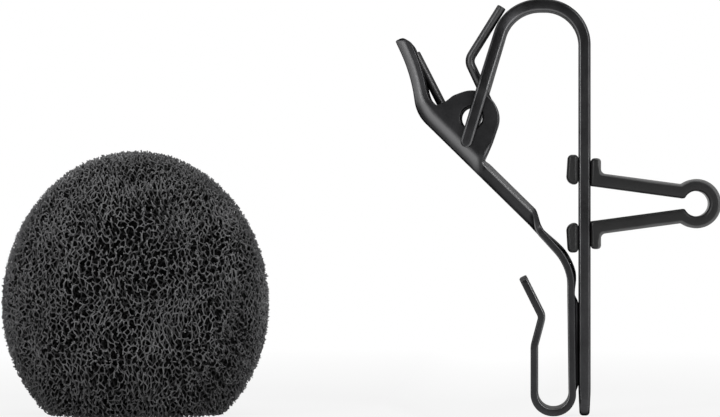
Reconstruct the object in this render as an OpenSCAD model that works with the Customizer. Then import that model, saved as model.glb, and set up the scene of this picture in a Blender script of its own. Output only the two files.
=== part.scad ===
// Lapel clip and foam windscreen for a lavalier microphone.
// X runs along the pair, from the windscreen to the clip's microphone ring, Y is depth, Z is up.
// The origin is under the middle of the pair, on the surface that both stand on.

/* [Windscreen] */
// Radius of the foam at its widest level
screen_r = 11.65; // [9:0.05:14]
// Height of the widest level above the flat base
screen_belly_z = 9.6; // [8:0.1:11]
// Height of the foam's dome above the widest level
screen_dome = 13.45; // [10:0.05:16]
// Radius of the flat base
screen_base_r = 7.7; // [6:0.1:8.4]
// Radius of the socket for the microphone's head
socket_r = 2.9; // [2:0.05:4]
// Depth of the socket
socket_depth = 13; // [8:0.5:15]
// Distance between the windscreen's axis and the clip's straight legs
pair_spacing = 39.35; // [34:0.05:50]

/* [Wire bow] */
// Width of the square wire
wire_w = 1.05; // [0.8:0.05:1.2]
// Flat taken off each edge of the wire
wire_edge = 0.22; // [0.1:0.02:0.3]
// Clear gap between the two straight legs
leg_gap = 1.3; // [1:0.05:1.6]
// Height of the wire's middle at the top of the bow
bow_h = 35.75; // [34:0.05:40]
// Radius of the bend above the legs
bow_leg_r = 3.46; // [2.5:0.02:3.6]
// Radius of the bend above the pivot
bow_pivot_r = 3.62; // [2.5:0.02:3.8]
// Distance from the legs to the corner where the pivot side starts
bow_span = 6.59; // [6.5:0.01:7.5]
// Lean of the bow's pivot side
bow_lean = 16.9; // [14:0.1:20]
// Height of the pivot above the bow's foot
pivot_z = 23.87; // [23:0.01:25]
// Length of the flat between the two bends at the foot
foot_flat = 0.2; // [0.1:0.05:0.4]
// Radius of the turned-in pivot ends
stub_r = 0.5; // [0.4:0.02:0.52]

/* [Jaw lever] */
// Thickness of the sheet metal
sheet = 0.65; // [0.5:0.05:0.75]
// Depth of the web's middle below the pivot
web_drop = 1.08; // [1:0.02:1.3]
// Lift of the arm over the straight line to the grip
arm_lift = 1.35; // [0:0.05:2]
// Length of the arm from the pivot to its crank
arm_len = 9; // [8.6:0.1:10]
// Length of the side flanges past the pivot
flange_len = 8.4; // [6:0.1:8.6]
// Height of the side flanges, web included
flange_h = 1.43; // [1.2:0.01:1.6]
// Outer radius of the folds along the arm
fold_r = 0.8; // [0.78:0.02:1]
// Reach of the ears behind the pivot, towards the thumb plate
ear_back = 4.6; // [4.2:0.1:4.8]
// Reach of the ears ahead of the pivot
ear_front = 2.25; // [2:0.05:2.6]
// Radius of the ears around the spring's eyes
ear_r = 2.35; // [2.2:0.05:2.6]
// Distance of the eyes behind the pivot
eye_back = 1.16; // [0.9:0.02:1.5]
// Radius of the eyes
eye_r = 0.94; // [0.7:0.02:1]
// Length of the collars around the eyes, which carry the spring
collar_len = 0.7; // [0.4:0.05:0.9]
// Width of the strip and its hook
strip_w = 4.6; // [4:0.1:5]
// Height of the corner where the arm turns down to the grip
grip_corner_z = 13.06; // [12.6:0.02:13.6]
// Radius of that corner
grip_corner_r = 4.7; // [3:0.1:5]
// Lean of the strip away from the legs, from its hook to that corner
grip_lean = 0.16; // [0.05:0.01:0.25]
// Rise of the grip from the strip to the legs
grip_rise = 0.14; // [0.1:0.02:0.3]
// Height where the raised grip starts
grip_low_z = 2.2; // [2:0.1:3]
// Height where the raised grip ends
grip_top_z = 9.8; // [8:0.1:10]
// Width of the raised grip
grip_w = 3.6; // [3:0.1:4]
// Width of the hook's loop, between the middles of its sides
loop_w = 3.32; // [3:0.02:3.8]
// Length of the flat under the hook's loop
loop_flat = 0.1; // [0.05:0.05:0.4]
// Height of the hook's straight side
hook_side_z = 6.1; // [5:0.1:6.6]
// Height of the hook's inner knee
hook_knee_z = 8.66; // [8:0.02:9.2]
// Distance of the knee from the hook's side, towards the strip
hook_knee_in = 0.68; // [0.4:0.02:1]
// Height of the hook's tip
hook_tip_z = 12.1; // [11:0.1:12.6]
// Distance of the tip from the knee, away from the strip
hook_tip_out = 1.72; // [1:0.02:2]
// Radius of the bends in the hook
hook_bend_r = 0.9; // [0.6:0.05:1.4]
// Distance of the thumb plate's bend behind the pivot
thumb_back = 4.7; // [4.4:0.05:5]
// Length of the thumb plate above its bend
thumb_len = 6.7; // [5.5:0.1:8]
// Angle between the arm and the thumb plate
thumb_turn = 38; // [32:1:42]
// Radius of the thumb plate's bend
thumb_bend_r = 3; // [1.5:0.1:4]
// Outward curl of the thumb plate's end
thumb_curl = 17; // [8:1:22]
// Depth of the thumb plate's trough
thumb_trough = 0.75; // [0.4:0.05:0.9]
// Rounding of the thumb plate's end
thumb_round = 1.6; // [0.8:0.1:2]

/* [Torsion spring] */
// Diameter of the spring wire
spring_d = 0.8; // [0.6:0.02:0.84]
// Radius of the coil at the middle of the wire
coil_r = 1.85; // [1.8:0.02:2]
// Whole turns in the coil, besides its last half turn
coil_turns = 2; // [1:1:3]
// Rise of the coil in a turn
coil_pitch = 1.26; // [1.25:0.01:1.4]
// Clearance between the coil and the arm under it
coil_lift = 0.28; // [0.15:0.01:0.4]
// Lean of the arm that leaves the coil towards the bow
rest_arm_lean = 25; // [22:1:28]
// Lean of that arm's bent end, which rests on the bow
rest_lean = 32; // [30:1:35]
// Length of that end past the spot where it rests
rest_past = 1.2; // [0.8:0.1:1.6]
// Radius of the bend before it
rest_bend_r = 1; // [0.8:0.1:1.4]
// Distance of the other arm's end from the thumb plate's edge
thumb_arm_in = 1.5; // [1.2:0.1:2]

/* [Microphone holder] */
// Radius of the ring's bore
ring_bore_r = 1.1; // [0.8:0.05:1.3]
// Outer radius of the ring
ring_r = 2.14; // [1.9:0.02:2.6]
// Distance from the legs to the ring's centre
ring_reach = 9.67; // [8:0.05:12]
// Height of the ring's centre above the corner of the jaw's strip
ring_lift = 5.42; // [5.3:0.02:7]
// Depth of the holder
holder_depth = 4; // [3:0.1:5]
// Thickness of the ring's two arms
arm_t = 1.22; // [1:0.02:1.4]
// Half of the gap between the arms at the ring's mouth
mouth_half = 0.43; // [0.3:0.01:0.6]
// Half of the gap between the arms at the legs
throat_half = 1.53; // [1.3:0.01:1.7]
// Height of the foot pads' inner edges, from the ring's level
pad_from = 1.75; // [1.6:0.05:2]
// Height of the foot pads
pad_h = 2.5; // [2.2:0.05:2.7]
// Thickness of the foot pads
pad_t = 1.05; // [0.9:0.05:1.1]
// Height of the feet's outer tabs
tab_h = 2.42; // [2.2:0.02:2.8]
// Thickness of the outer tabs
tab_t = 0.85; // [0.75:0.05:1]
// Rounding of the pads and tabs
pad_round = 0.36; // [0.2:0.02:0.36]

/* [Fits] */
// Clearance between pieces that rest or slide on each other
touch_gap = 0.05; // [0.03:0.01:0.08]
// Clearance between pieces that move past each other
side_gap = 0.1; // [0.08:0.01:0.15]
// Radial clearance of the pivot ends in the ears
pivot_gap = 0.04; // [0.02:0.01:0.06]
// Clearance around the spring's coil
coil_gap = 0.1; // [0.08:0.01:0.12]

/* [Hidden] */
$fn = 64;
FOAM_BLACK = "#262626";
STEEL_BLACK = "#1d1d1e";
PLASTIC_BLACK = "#222222";

// Places along the pair
pair_middle = (pair_spacing + ring_reach + ring_r - screen_r) / 2;
screen_x = -pair_middle;
clip_x = pair_spacing - pair_middle;

// Depths of the clip's layers, from its middle plane outwards
half_wire = wire_w / 2;
leg_y = leg_gap / 2 + half_wire;
coil_y = (coil_turns + 0.5) * coil_pitch / 2;
ear_in = coil_y + spring_d / 2 + coil_gap;
ear_out = ear_in + sheet;
pivot_y = ear_out + side_gap + half_wire;

// Places on the bow, with X from the legs and Z from the foot
pivot = [-bow_span - (bow_h - pivot_z) * tan(bow_lean), 0, pivot_z];
foot_bend_r = leg_y - foot_flat / 2;
bow_bend = [bow_pivot_r * tan(45 - bow_lean / 2) - bow_span, 0, bow_h - bow_pivot_r];

// Places on the strip
strip_x = -half_wire - touch_gap - grip_rise - sheet / 2;
grip_corner = [strip_x - grip_lean, 0, grip_corner_z];
loop_z = touch_gap + sheet / 2;
loop_r = (loop_w - loop_flat) / 2;
hook_x = strip_x - loop_w;

// The arm's own axes: along it towards the grip, and square to it towards the spring
to_grip = grip_corner - pivot;
arm_slope = atan2(-to_grip.z, to_grip.x) - asin(web_drop / norm(to_grip)) - arm_lift;
arm_along = [cos(arm_slope), 0, -sin(arm_slope)];
arm_up = [sin(arm_slope), 0, cos(arm_slope)];
web_under = -web_drop - sheet / 2;
eye_up = web_under + sheet + coil_lift + spring_d / 2 + coil_r;
eye = on_arm(-eye_back, eye_up);
ear_reach = norm([eye_back, eye_up]) + ear_r + half_wire + side_gap;
collar_r = coil_r - spring_d / 2 - coil_gap;
// Sheets that run into each other differ by this much, so that their faces don't lie in one plane
seam = 0.02;

// Places on the thumb plate
thumb_bend = on_arm(-thumb_back, -web_drop);
thumb_rise = arm_turned(180 - thumb_turn);
thumb_end = arm_turned(180 - thumb_turn + thumb_curl);
thumb_knee = thumb_bend + thumb_len / 2 * thumb_rise;
thumb_tip = thumb_knee + thumb_len / 2 * thumb_end;
thumb_inward = arm_turned(90 - thumb_turn + thumb_curl);
bend_run = thumb_bend_r * tan(thumb_turn / 2);
between_bends = 0.2;
thumb_curl_r = (thumb_len / 2 - bend_run - between_bends) / tan(thumb_curl / 2);

// Places on the holder
ring_z = grip_corner_z + ring_lift;
wire_face = half_wire + touch_gap;
mouth_x = ring_reach - sqrt(ring_bore_r ^ 2 - mouth_half ^ 2);
arm_fall = atan2(throat_half - mouth_half, mouth_x - wire_face);

function unit(v) = v / norm(v);
function on_arm(along, up) = pivot + along * arm_along + up * arm_up;
function arm_turned(angle) = cos(angle) * arm_along + sin(angle) * arm_up;

// Points of a round corner at q, between p and s
function corner(p, q, s, r, steps) =
  let (
    back = unit(p - q),
    ahead = unit(s - q),
    half = acos(back * ahead) / 2,
    middle = q + unit(back + ahead) * r / sin(half),
    start = q + back * r / tan(half),
    turn = 180 - 2 * half
  )
  [
    for (i = [0:steps])
      let (angle = turn * i / steps)
      middle + cos(angle) * (start - middle) - sin(angle) * r * back
  ];

// A path through points, with each inner corner rounded to its own radius
function rounded(points, radii, steps = 8) =
  let (last = len(points) - 1)
  [
    points[0],
    for (i = [1:last - 1])
      each corner(points[i - 1], points[i], points[i + 1], radii[i - 1], steps),
    points[last]
  ];

function tangents(path) =
  let (last = len(path) - 1)
  [for (i = [0:last]) unit(path[min(i + 1, last)] - path[max(i - 1, 0)])];

// One side direction for each point of a path, carried along it without twist
function sides(along, first) =
  [
    for (
      i = 0, side = unit(first - (first * along[0]) * along[0]);
      i < len(along);
      i = i + 1, side = i < len(along) ? unit(side - (side * along[i]) * along[i]) : side
    )
      side
  ];

// A section carried along a path as one closed solid, with its X along each point's side direction
module sweep(path, section, side) {
  along = tangents(path);
  count = len(section);
  last = len(path) - 1;
  points = [
    for (i = [0:last], p = section)
      path[i] + p.x * side[i] + p.y * cross(along[i], side[i])
  ];
  walls = [
    for (i = [0:last - 1], k = [0:count - 1])
      let (
        here = i * count + k,
        next = i * count + (k + 1) % count
      )
      each [[here, here + count, next], [next, here + count, next + count]]
  ];
  ends = [
    for (k = [1:count - 2])
      each [[0, k, k + 1], last * count * [1, 1, 1] + [0, k + 1, k]]
  ];
  polyhedron(points, concat(walls, ends));
}

// Side view of a bent strip, as a band around its middle line
module band(path, thickness) {
  along = tangents(path);
  half = thickness / 2;
  last = len(path) - 1;
  left = [for (i = [0:last]) [path[i].x - half * along[i].z, path[i].z + half * along[i].x]];
  right = [for (i = [last:-1:0]) [path[i].x + half * along[i].z, path[i].z - half * along[i].x]];
  polygon(concat(left, right));
}

// Stands a side view up, with X across and Y as height, and gives it depth about a level
module upright(depth, level = 0) {
  translate([0, level + depth / 2, 0]) rotate([90, 0, 0]) linear_extrude(depth) children();
}

// A round bar along the depth
module cross_bar(at, r, from, to) {
  translate([at.x, from, at.z]) rotate([-90, 0, 0]) cylinder(r = r, h = to - from);
}

module both_sides() {
  children();
  mirror([0, 1, 0]) children();
}

module in_clip() {
  translate([clip_x, 0, 0]) children();
}

module along_arm() {
  translate(pivot) rotate([0, arm_slope, 0]) children();
}

// Foam windscreen: a dome over a rounded belly, cut flat below, with a socket from beneath
module foam_windscreen() {
  belly_depth = screen_belly_z / sqrt(1 - (screen_base_r / screen_r) ^ 2);
  base_angle = asin(screen_belly_z / belly_depth);
  steps = 16;
  dome = [
    for (i = [0:steps])
      let (angle = 90 - 90 * i / steps)
      [screen_r * cos(angle), screen_belly_z + screen_dome * sin(angle)]
  ];
  belly = [
    for (i = [1:steps])
      let (angle = base_angle * i / steps)
      [screen_r * cos(angle), screen_belly_z - belly_depth * sin(angle)]
  ];
  past = 1;
  color(FOAM_BLACK)
    translate([screen_x, 0, 0])
      difference() {
        rotate_extrude() polygon(concat([[0, 0]], dome, belly));
        translate([0, 0, -past]) cylinder(r = socket_r, h = socket_depth + past);
      }
}

// Wire bow: one square wire, bent double at the foot, with its two ends turned in as pivots
module wire_bow() {
  to_top = [sin(bow_lean), 0, cos(bow_lean)];
  crossing_r = 3;
  flat = half_wire - wire_edge;
  section = [
    [half_wire, flat], [flat, half_wire], [-flat, half_wire], [-half_wire, flat],
    [-half_wire, -flat], [-flat, -half_wire], [flat, -half_wire], [half_wire, -flat]
  ];
  front = [
    pivot - [0, pivot_y, 0],
    pivot - [0, pivot_y, 0] + ear_reach * to_top,
    [-bow_span, -leg_y, bow_h],
    [0, -leg_y, bow_h],
    [0, -leg_y, half_wire]
  ];
  back = [for (i = [len(front) - 1:-1:0]) [front[i].x, -front[i].y, front[i].z]];
  bends = [crossing_r, bow_pivot_r, bow_leg_r, foot_bend_r];
  radii = concat(bends, [for (i = [len(bends) - 1:-1:0]) bends[i]]);
  path = rounded(concat(front, back), radii, 10);
  along = tangents(path);
  last = len(path) - 1;
  across = [
    for (i = [0:last])
      let (
        level = i > last / 2 ? [0, -1, 0] : [0, 1, 0],
        on_legs = abs(path[i].x) < wire_edge
      )
      unit(on_legs ? cross([1, 0, 0], along[i]) : level - (level * along[i]) * along[i])
  ];
  color(STEEL_BLACK)
    in_clip() {
      sweep(path, section, across);
      both_sides() {
        cross_bar(pivot, half_wire, pivot_y - half_wire, pivot_y + half_wire);
        cross_bar(pivot, stub_r, ear_in + touch_gap, pivot_y);
      }
    }
}

// Jaw lever: thumb plate, ears, arm, strip and hook, pressed from one sheet
module jaw_lever() {
  color(STEEL_BLACK)
    in_clip()
      difference() {
        union() {
          lever_channel();
          lever_strip();
          lever_thumb();
          both_sides() lever_ear();
        }
        both_sides() {
          cross_bar(pivot, stub_r + pivot_gap, ear_in - sheet / 2, ear_out + sheet / 2);
          cross_bar(eye, eye_r, ear_in - collar_len - sheet / 2, ear_out + sheet / 2);
        }
      }
}

// Channel section of the arm, with folded edges, a seam thicker than the sheets that run into it
module lever_channel() {
  steps = 8;
  back = thumb_back - bend_run;
  middle = [ear_out - fold_r, web_under + fold_r];
  top = web_under + flange_h;
  under = [
    for (i = [0:steps])
      let (angle = -90 * i / steps)
      middle + (fold_r + seam) * [cos(angle), sin(angle)]
  ];
  inside = [
    for (i = [steps:-1:0])
      let (angle = -90 * i / steps)
      middle + (fold_r - sheet - seam) * [cos(angle), sin(angle)]
  ];
  half = concat([[ear_in - seam, top], [ear_out + seam, top]], under);
  other_half = [for (i = [len(half) - 1:-1:0]) [-half[i].x, half[i].y]];
  other_inside = [for (i = [len(inside) - 1:-1:0]) [-inside[i].x, inside[i].y]];
  along_arm()
    translate([-back, 0, 0])
      rotate([90, 0, 90])
        linear_extrude(back + flange_len)
          polygon(concat(half, other_half, other_inside, inside));
}

// Ear with its collar, on the back side
module lever_ear() {
  steps = 24;
  base = web_under + flange_h - sheet / 2;
  from_eye = [[-ear_back + eye_back, base - eye_up], [ear_front + eye_back, base - eye_up]];
  bearing = [for (p = from_eye) atan2(p.y, p.x)];
  spread = [for (p = from_eye) acos(ear_r / norm(p))];
  start = bearing[0] + 360 - spread[0];
  stop = bearing[1] + spread[1];
  crown = [
    for (i = [0:steps])
      let (angle = start + (stop - start) * i / steps)
      [ear_r * cos(angle) - eye_back, ear_r * sin(angle) + eye_up]
  ];
  along_arm()
    upright(sheet, ear_in + sheet / 2)
      polygon(concat([[-ear_back, base]], crown, [[ear_front, base]]));
  cross_bar(eye, collar_r, ear_in - collar_len, ear_in + sheet / 2);
}

// Strip down to the grip, with its hook and the raised grip that meets the legs
module lever_strip() {
  knee_x = hook_x + hook_knee_in;
  crank_r = 6;
  overlap = strip_w / 2;
  path = [
    on_arm(flange_len - overlap, -web_drop),
    on_arm(arm_len, -web_drop),
    grip_corner,
    [strip_x, 0, loop_z],
    [hook_x, 0, loop_z],
    [hook_x, 0, hook_side_z],
    [knee_x, 0, hook_knee_z],
    [knee_x - hook_tip_out, 0, hook_tip_z]
  ];
  radii = [crank_r, grip_corner_r, loop_r, loop_r, hook_bend_r, hook_bend_r];
  upright(strip_w) band(rounded(path, radii), sheet);
  upright(grip_w)
    polygon([
      [strip_x, grip_low_z],
      [-wire_face, grip_low_z + grip_rise],
      [-wire_face, grip_top_z - grip_rise],
      [strip_x - grip_lean, grip_top_z]
    ]);
}

// Thumb plate: a curled sheet with its edges turned in and its end corners rounded
module lever_thumb() {
  start = on_arm(-thumb_back + 2 * bend_run, -web_drop);
  path = rounded([start, thumb_bend, thumb_knee, thumb_tip], [thumb_bend_r, thumb_curl_r]);
  along = tangents(path);
  inner = [for (i = [0:len(path) - 1]) path[i] + thumb_trough / 2 * cross([0, 1, 0], along[i])];
  difference() {
    union() {
      upright(2 * (ear_out - 2 * seam)) band(path, sheet);
      both_sides()
        upright(sheet - 2 * seam, (ear_in + ear_out) / 2)
          band(inner, sheet + thumb_trough - 2 * seam);
    }
    translate(thumb_tip)
      rotate([0, thumb_turn - thumb_curl - 180 + arm_slope, 0])
        both_sides() thumb_corner();
  }
}

// What is cut off one corner of the thumb plate's end, which lies at the origin and points along X
module thumb_corner() {
  reach = 2 * (sheet + thumb_trough);
  past = sheet;
  translate([-thumb_round, ear_out - thumb_round, -reach / 2])
    difference() {
      cube([thumb_round + past, thumb_round + past, reach]);
      translate([0, 0, -past]) cylinder(r = thumb_round, h = reach + 2 * past);
    }
}

// Torsion spring: a coil on the ears' collars, with one arm under the thumb plate and one on the bow
module torsion_spring() {
  rings = 18;
  corners = 8;
  thumb_rest = sheet / 2 + touch_gap + spring_d / 2;
  thumb_spot = thumb_tip - thumb_arm_in * thumb_end + thumb_rest * thumb_inward;
  to_eye = eye - thumb_spot;
  thumb_arm_heading = atan2(to_eye.z, to_eye.x) - asin(coil_r / norm(to_eye));
  coil_from = thumb_arm_heading - 90;
  coil_to = rest_arm_lean + 360 * coil_turns;
  turn = coil_to - coil_from;
  count = ceil(rings * turn / 360);
  coil = [
    for (i = [0:count])
      let (angle = coil_from + turn * i / count)
      eye + [coil_r * cos(angle), coil_y * (1 - 2 * i / count), coil_r * sin(angle)]
  ];
  leaving = [-sin(rest_arm_lean), 0, cos(rest_arm_lean)];
  end_along = [sin(rest_lean), 0, cos(rest_lean)];
  end_out = [-cos(rest_lean), 0, sin(rest_lean)];
  rest_r = bow_pivot_r + half_wire + touch_gap + spring_d / 2;
  rest_spot = bow_bend + rest_r * end_out - [0, coil_y, 0];
  left_coil = coil[count];
  arm_run = (rest_spot - left_coil) * end_out / (leaving * end_out);
  rest_arm = [
    left_coil,
    left_coil + arm_run * leaving,
    rest_spot + rest_past * end_along
  ];
  bent = rounded(rest_arm, [rest_bend_r], 6);
  path = [
    thumb_spot + [0, coil_y, 0],
    each coil,
    for (i = [1:len(bent) - 1]) bent[i]
  ];
  section = [
    for (k = [0:corners - 1])
      let (angle = 360 * k / corners)
      spring_d / 2 * [cos(angle), sin(angle)]
  ];
  steps = [for (i = [1:len(path) - 1]) norm(path[i] - path[i - 1])];
  travel = [for (i = 0, sum = 0; i < len(path); sum = sum + steps[min(i, len(steps) - 1)], i = i + 1) sum];
  least_gap = min([
    for (i = [0:len(path) - 1], j = [0:i])
      if (travel[i] - travel[j] > PI * coil_r) norm(path[i] - path[j]) - spring_d
  ]);
  echo(spring_least_gap = least_gap);
  color(STEEL_BLACK) in_clip() sweep(path, section, sides(tangents(path), [0, 1, 0]));
}

// Microphone holder: a slotted ring on two arms, with feet that straddle the bow's legs
module mic_holder() {
  neck = leg_gap - 2 * side_gap;
  neck_h = pad_h - 2 * pad_round;
  foot_x = -wire_face - pad_t;
  color(PLASTIC_BLACK)
    in_clip()
      translate([0, 0, ring_z]) {
        difference() {
          union() {
            cross_bar([ring_reach, 0, 0], ring_r, -holder_depth / 2, holder_depth / 2);
            upright(holder_depth) polygon(arm_outline(arm_t / cos(arm_fall), ring_reach));
          }
          cross_bar([ring_reach, 0, 0], ring_bore_r, -holder_depth, holder_depth);
          upright(2 * holder_depth) polygon(arm_outline(0, mouth_x + mouth_half / 2));
        }
        for (way = [-1, 1])
          scale([1, 1, way]) {
            upright(holder_depth)
              translate([foot_x, pad_from]) rounded_square(pad_t, pad_h, pad_round);
            upright(holder_depth)
              translate([wire_face, throat_half]) rounded_square(tab_t, tab_h, pad_round);
            upright(neck)
              translate([foot_x + pad_t / 2, pad_from + pad_round])
                square([pad_t + 2 * wire_face, neck_h - pad_round]);
          }
      }
}

// Outline of the two arms, or of the slot between them, from the legs to a given distance
function arm_outline(thickness, to) =
  let (
    start = throat_half + thickness,
    stop = start - (to - wire_face) * tan(arm_fall)
  )
  [[wire_face, start], [wire_face, -start], [to, -stop], [to, stop]];

module rounded_square(w, h, r) {
  translate([r, 0]) square([w - 2 * r, h]);
  translate([0, r]) square([w, h - 2 * r]);
  for (x = [r, w - r], y = [r, h - r]) translate([x, y]) circle(r);
}

foam_windscreen();
wire_bow();
jaw_lever();
torsion_spring();
mic_holder();
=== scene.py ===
# %% [markdown]
# # A lapel clip and a foam windscreen
# Two accessories of a small microphone stand side by side on a white table: a ball of black open-cell
# foam, and a sprung clip of black wire and sheet metal with a plastic ring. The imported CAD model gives
# every place and size. This lesson makes the visible surfaces over it, piece by piece, with numpy.

import bpy
import numpy as np
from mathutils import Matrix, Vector


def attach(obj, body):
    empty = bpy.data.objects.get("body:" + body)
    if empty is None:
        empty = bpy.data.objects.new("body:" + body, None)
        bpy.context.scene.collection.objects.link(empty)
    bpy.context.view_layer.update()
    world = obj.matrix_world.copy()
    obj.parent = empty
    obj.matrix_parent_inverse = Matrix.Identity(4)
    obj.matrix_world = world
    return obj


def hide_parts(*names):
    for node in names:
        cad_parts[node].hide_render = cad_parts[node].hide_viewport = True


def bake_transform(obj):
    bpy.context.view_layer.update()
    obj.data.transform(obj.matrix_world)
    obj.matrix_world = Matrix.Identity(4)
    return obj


MM = 0.001
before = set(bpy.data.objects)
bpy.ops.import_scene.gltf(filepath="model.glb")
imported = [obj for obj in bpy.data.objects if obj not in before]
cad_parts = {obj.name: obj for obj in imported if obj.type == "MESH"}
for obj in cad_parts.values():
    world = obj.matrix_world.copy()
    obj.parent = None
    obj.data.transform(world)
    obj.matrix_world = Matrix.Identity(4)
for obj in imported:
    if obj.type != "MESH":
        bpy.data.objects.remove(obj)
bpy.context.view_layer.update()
print("nodes:", sorted(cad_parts))

# %% [markdown]
# ## The camera
# The photograph looks straight at the side of the clip, from about 300 mm away and level with its middle.
# A lens shift would put the pair back in the middle of the frame, but every other view would keep that
# shift. So the camera stands in front of the clip and turns a little towards the middle of the pair.

# %% Camera
EYE = np.array([17.09, -300, 18.06])
AIM = np.array([-0.02, 0, 18.06])
VIEW_WIDTH = 63.05
SENSOR = 36

camera = bpy.data.objects.new("camera", bpy.data.cameras.new("camera"))
bpy.context.scene.collection.objects.link(camera)
camera.location = EYE * MM
camera.rotation_euler = Vector(AIM - EYE).to_track_quat("-Z", "Y").to_euler()
camera.data.sensor_width = SENSOR
camera.data.lens = SENSOR * np.linalg.norm(AIM - EYE) / VIEW_WIDTH
bpy.context.scene.camera = camera
print("lens in mm:", round(camera.data.lens, 1))

# %% [markdown]
# ## From arrays to meshes
# Each shape below is worked out as whole arrays in millimetres. One helper puts such arrays into a mesh,
# and another makes the mesh a piece that hides the plain solid it stands for. A solid's signed volume
# shows if its faces point outwards: it is negative where the shape came out inside out.


# %% Helpers for meshes
TINY = 1e-6


def unit(v):
    """Each row of an array, scaled to a length of 1."""
    return v / np.linalg.norm(v, axis=-1, keepdims=True)


def grid(rows, columns, around=False):
    """Corner indices of the squares of a grid. With around, the last column joins the first."""
    index = np.arange(rows * columns).reshape(rows, columns)
    if around:
        index = np.concatenate([index, index[:, :1]], axis=1)
    corners = [index[:-1, :-1], index[:-1, 1:], index[1:, 1:], index[1:, :-1]]
    return np.stack(corners, axis=-1).reshape(-1, 4)


def outward(points, faces):
    """The faces, turned round if the volume that they close in is negative.

    Each face is a fan of triangles, and each triangle adds a sixth of the triple product of its corners.
    """
    volume = 0
    for group in faces:
        p = points[group]
        fan = np.cross(p[:, 1:-1], p[:, 2:])
        volume += np.einsum("ik,ijk->", p[:, 0], fan) / 6
    return faces if volume > 0 else [group[:, ::-1] for group in faces]


def joined(*solids):
    """Several solids, each as points and a list of face arrays, as one."""
    starts = np.cumsum([0] + [len(points) for points, faces in solids])
    points = np.concatenate([points for points, faces in solids])
    faces = [group + start for (_, groups), start in zip(solids, starts) for group in groups]
    return points, faces


def mesh_from(name, points, faces):
    """A mesh in metres, from points in millimetres and arrays of faces with any number of corners."""
    mesh = bpy.data.meshes.new(name)
    corners = np.concatenate([group.ravel() for group in faces])
    sizes = np.concatenate([np.full(len(group), group.shape[1]) for group in faces])
    mesh.vertices.add(len(points))
    mesh.vertices.foreach_set("co", (points * MM).astype(np.float32).ravel())
    mesh.loops.add(len(corners))
    mesh.loops.foreach_set("vertex_index", corners.astype(np.int32))
    mesh.polygons.add(len(sizes))
    mesh.polygons.foreach_set("loop_start", (np.cumsum(sizes) - sizes).astype(np.int32))
    mesh.update(calc_edges=True)
    mesh.validate()
    mesh.shade_smooth()
    print(name, "has", int((sizes - 2).sum()), "triangles")
    return mesh


def make_piece(name, mesh, node):
    """An object that shows the mesh in place of a CAD node, which it hides."""
    piece = bpy.data.objects.new(name, mesh)
    bpy.context.scene.collection.objects.link(piece)
    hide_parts(node)
    return piece


def mark_points(mesh, name, values):
    """Keeps a number at each point of a mesh for its finish. Points past the last value get 0."""
    marks = np.zeros(len(mesh.vertices), np.float32)
    marks[: values.size] = values.ravel()
    mesh.attributes.new(name, "FLOAT", "POINT").data.foreach_set("value", marks)


def even_normals(piece):
    """Shades large flat faces flat, by weighting normals with the faces' areas."""
    modifier = piece.modifiers.new("even normals", "WEIGHTED_NORMAL")
    modifier.keep_sharp = True


# %% [markdown]
# ## Paths
# Every wire and strip of the clip is bent from straight stock, so each follows straight runs joined by
# arcs. The arcs are worked out from the corners and their radii, as a bending plan gives them.


# %% Helpers for paths
def run(start, stop, step):
    """Points along a straight run, about a step apart, without its end."""
    count = max(1, int(np.linalg.norm(stop - start) / step))
    return start + (stop - start) * (np.arange(count) / count)[:, None]


def rounded_path(corners, radii, step, turn_step):
    """Straight runs joined by arcs: each arc leaves its run r / tan(half the corner's angle) early."""
    corners = np.asarray(corners, float)
    parts = []
    start = corners[0]
    for before, corner, after, r in zip(corners, corners[1:], corners[2:], radii):
        back, ahead = unit(before - corner), unit(after - corner)
        half = np.arccos(np.clip(back @ ahead, -1, 1)) / 2
        arc_from = corner + back * r / np.tan(half)
        centre = corner + unit(back + ahead) * r / np.sin(half)
        turn = np.pi - 2 * half
        angle = np.linspace(0, turn, 3 + int(turn / turn_step))[:, None]
        arc = centre + np.cos(angle) * (arc_from - centre) - np.sin(angle) * r * back
        parts += [run(start, arc_from, step), arc[:-1]]
        start = arc[-1]
    path = np.concatenate([*parts, run(start, corners[-1], step), corners[-1:]])
    apart = np.linalg.norm(np.diff(path, axis=0), axis=1) > TINY
    return path[np.concatenate([[True], apart])]


def travel(path):
    """Distance along a path at each of its points."""
    return np.concatenate([[0], np.cumsum(np.linalg.norm(np.diff(path, axis=0), axis=1))])


def headings(path):
    """Direction of a path at each of its points, from its neighbours."""
    ahead = np.concatenate([path[1:], path[-1:]])
    behind = np.concatenate([path[:1], path[:-1]])
    return unit(ahead - behind)


def smooth(x, start, stop):
    """0 before start, 1 after stop, and a soft S between them."""
    t = np.clip((x - start) / (stop - start), 0, 1)
    return t * t * (3 - 2 * t)


def hill(x, rise, fall):
    """0, then 1 past the range rise, then 0 again past the range fall, with a soft S in each range."""
    return smooth(x, *rise) * (1 - smooth(x, *fall))


def swept(path, along, side, x, y):
    """A closed section carried along a path, with a lid on each end.

    A point is its path point, plus x along the side direction and y along the cross product of the
    path's heading and that side.
    """
    other = np.cross(along, side)
    points = path[:, None] + x[..., None] * side[:, None] + y[..., None] * other[:, None]
    rows, columns = x.shape
    lid = np.arange(columns)[None]
    faces = [grid(rows, columns, around=True), lid[:, ::-1], lid + (rows - 1) * columns]
    points = points.reshape(-1, 3)
    return points, outward(points, faces)


# %% [markdown]
# ## The wire bow
# The real bow is one square wire with softened edges. It starts at a pivot in the lever's front ear,
# runs over the top and down to the toe, where it is bent double and pressed narrower, and back the same
# way. A curve with a bevel could draw it, but its square section would twist, and it can't narrow in one
# direction only. So a rounded square is carried along the path here, with its sides kept level.

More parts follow.
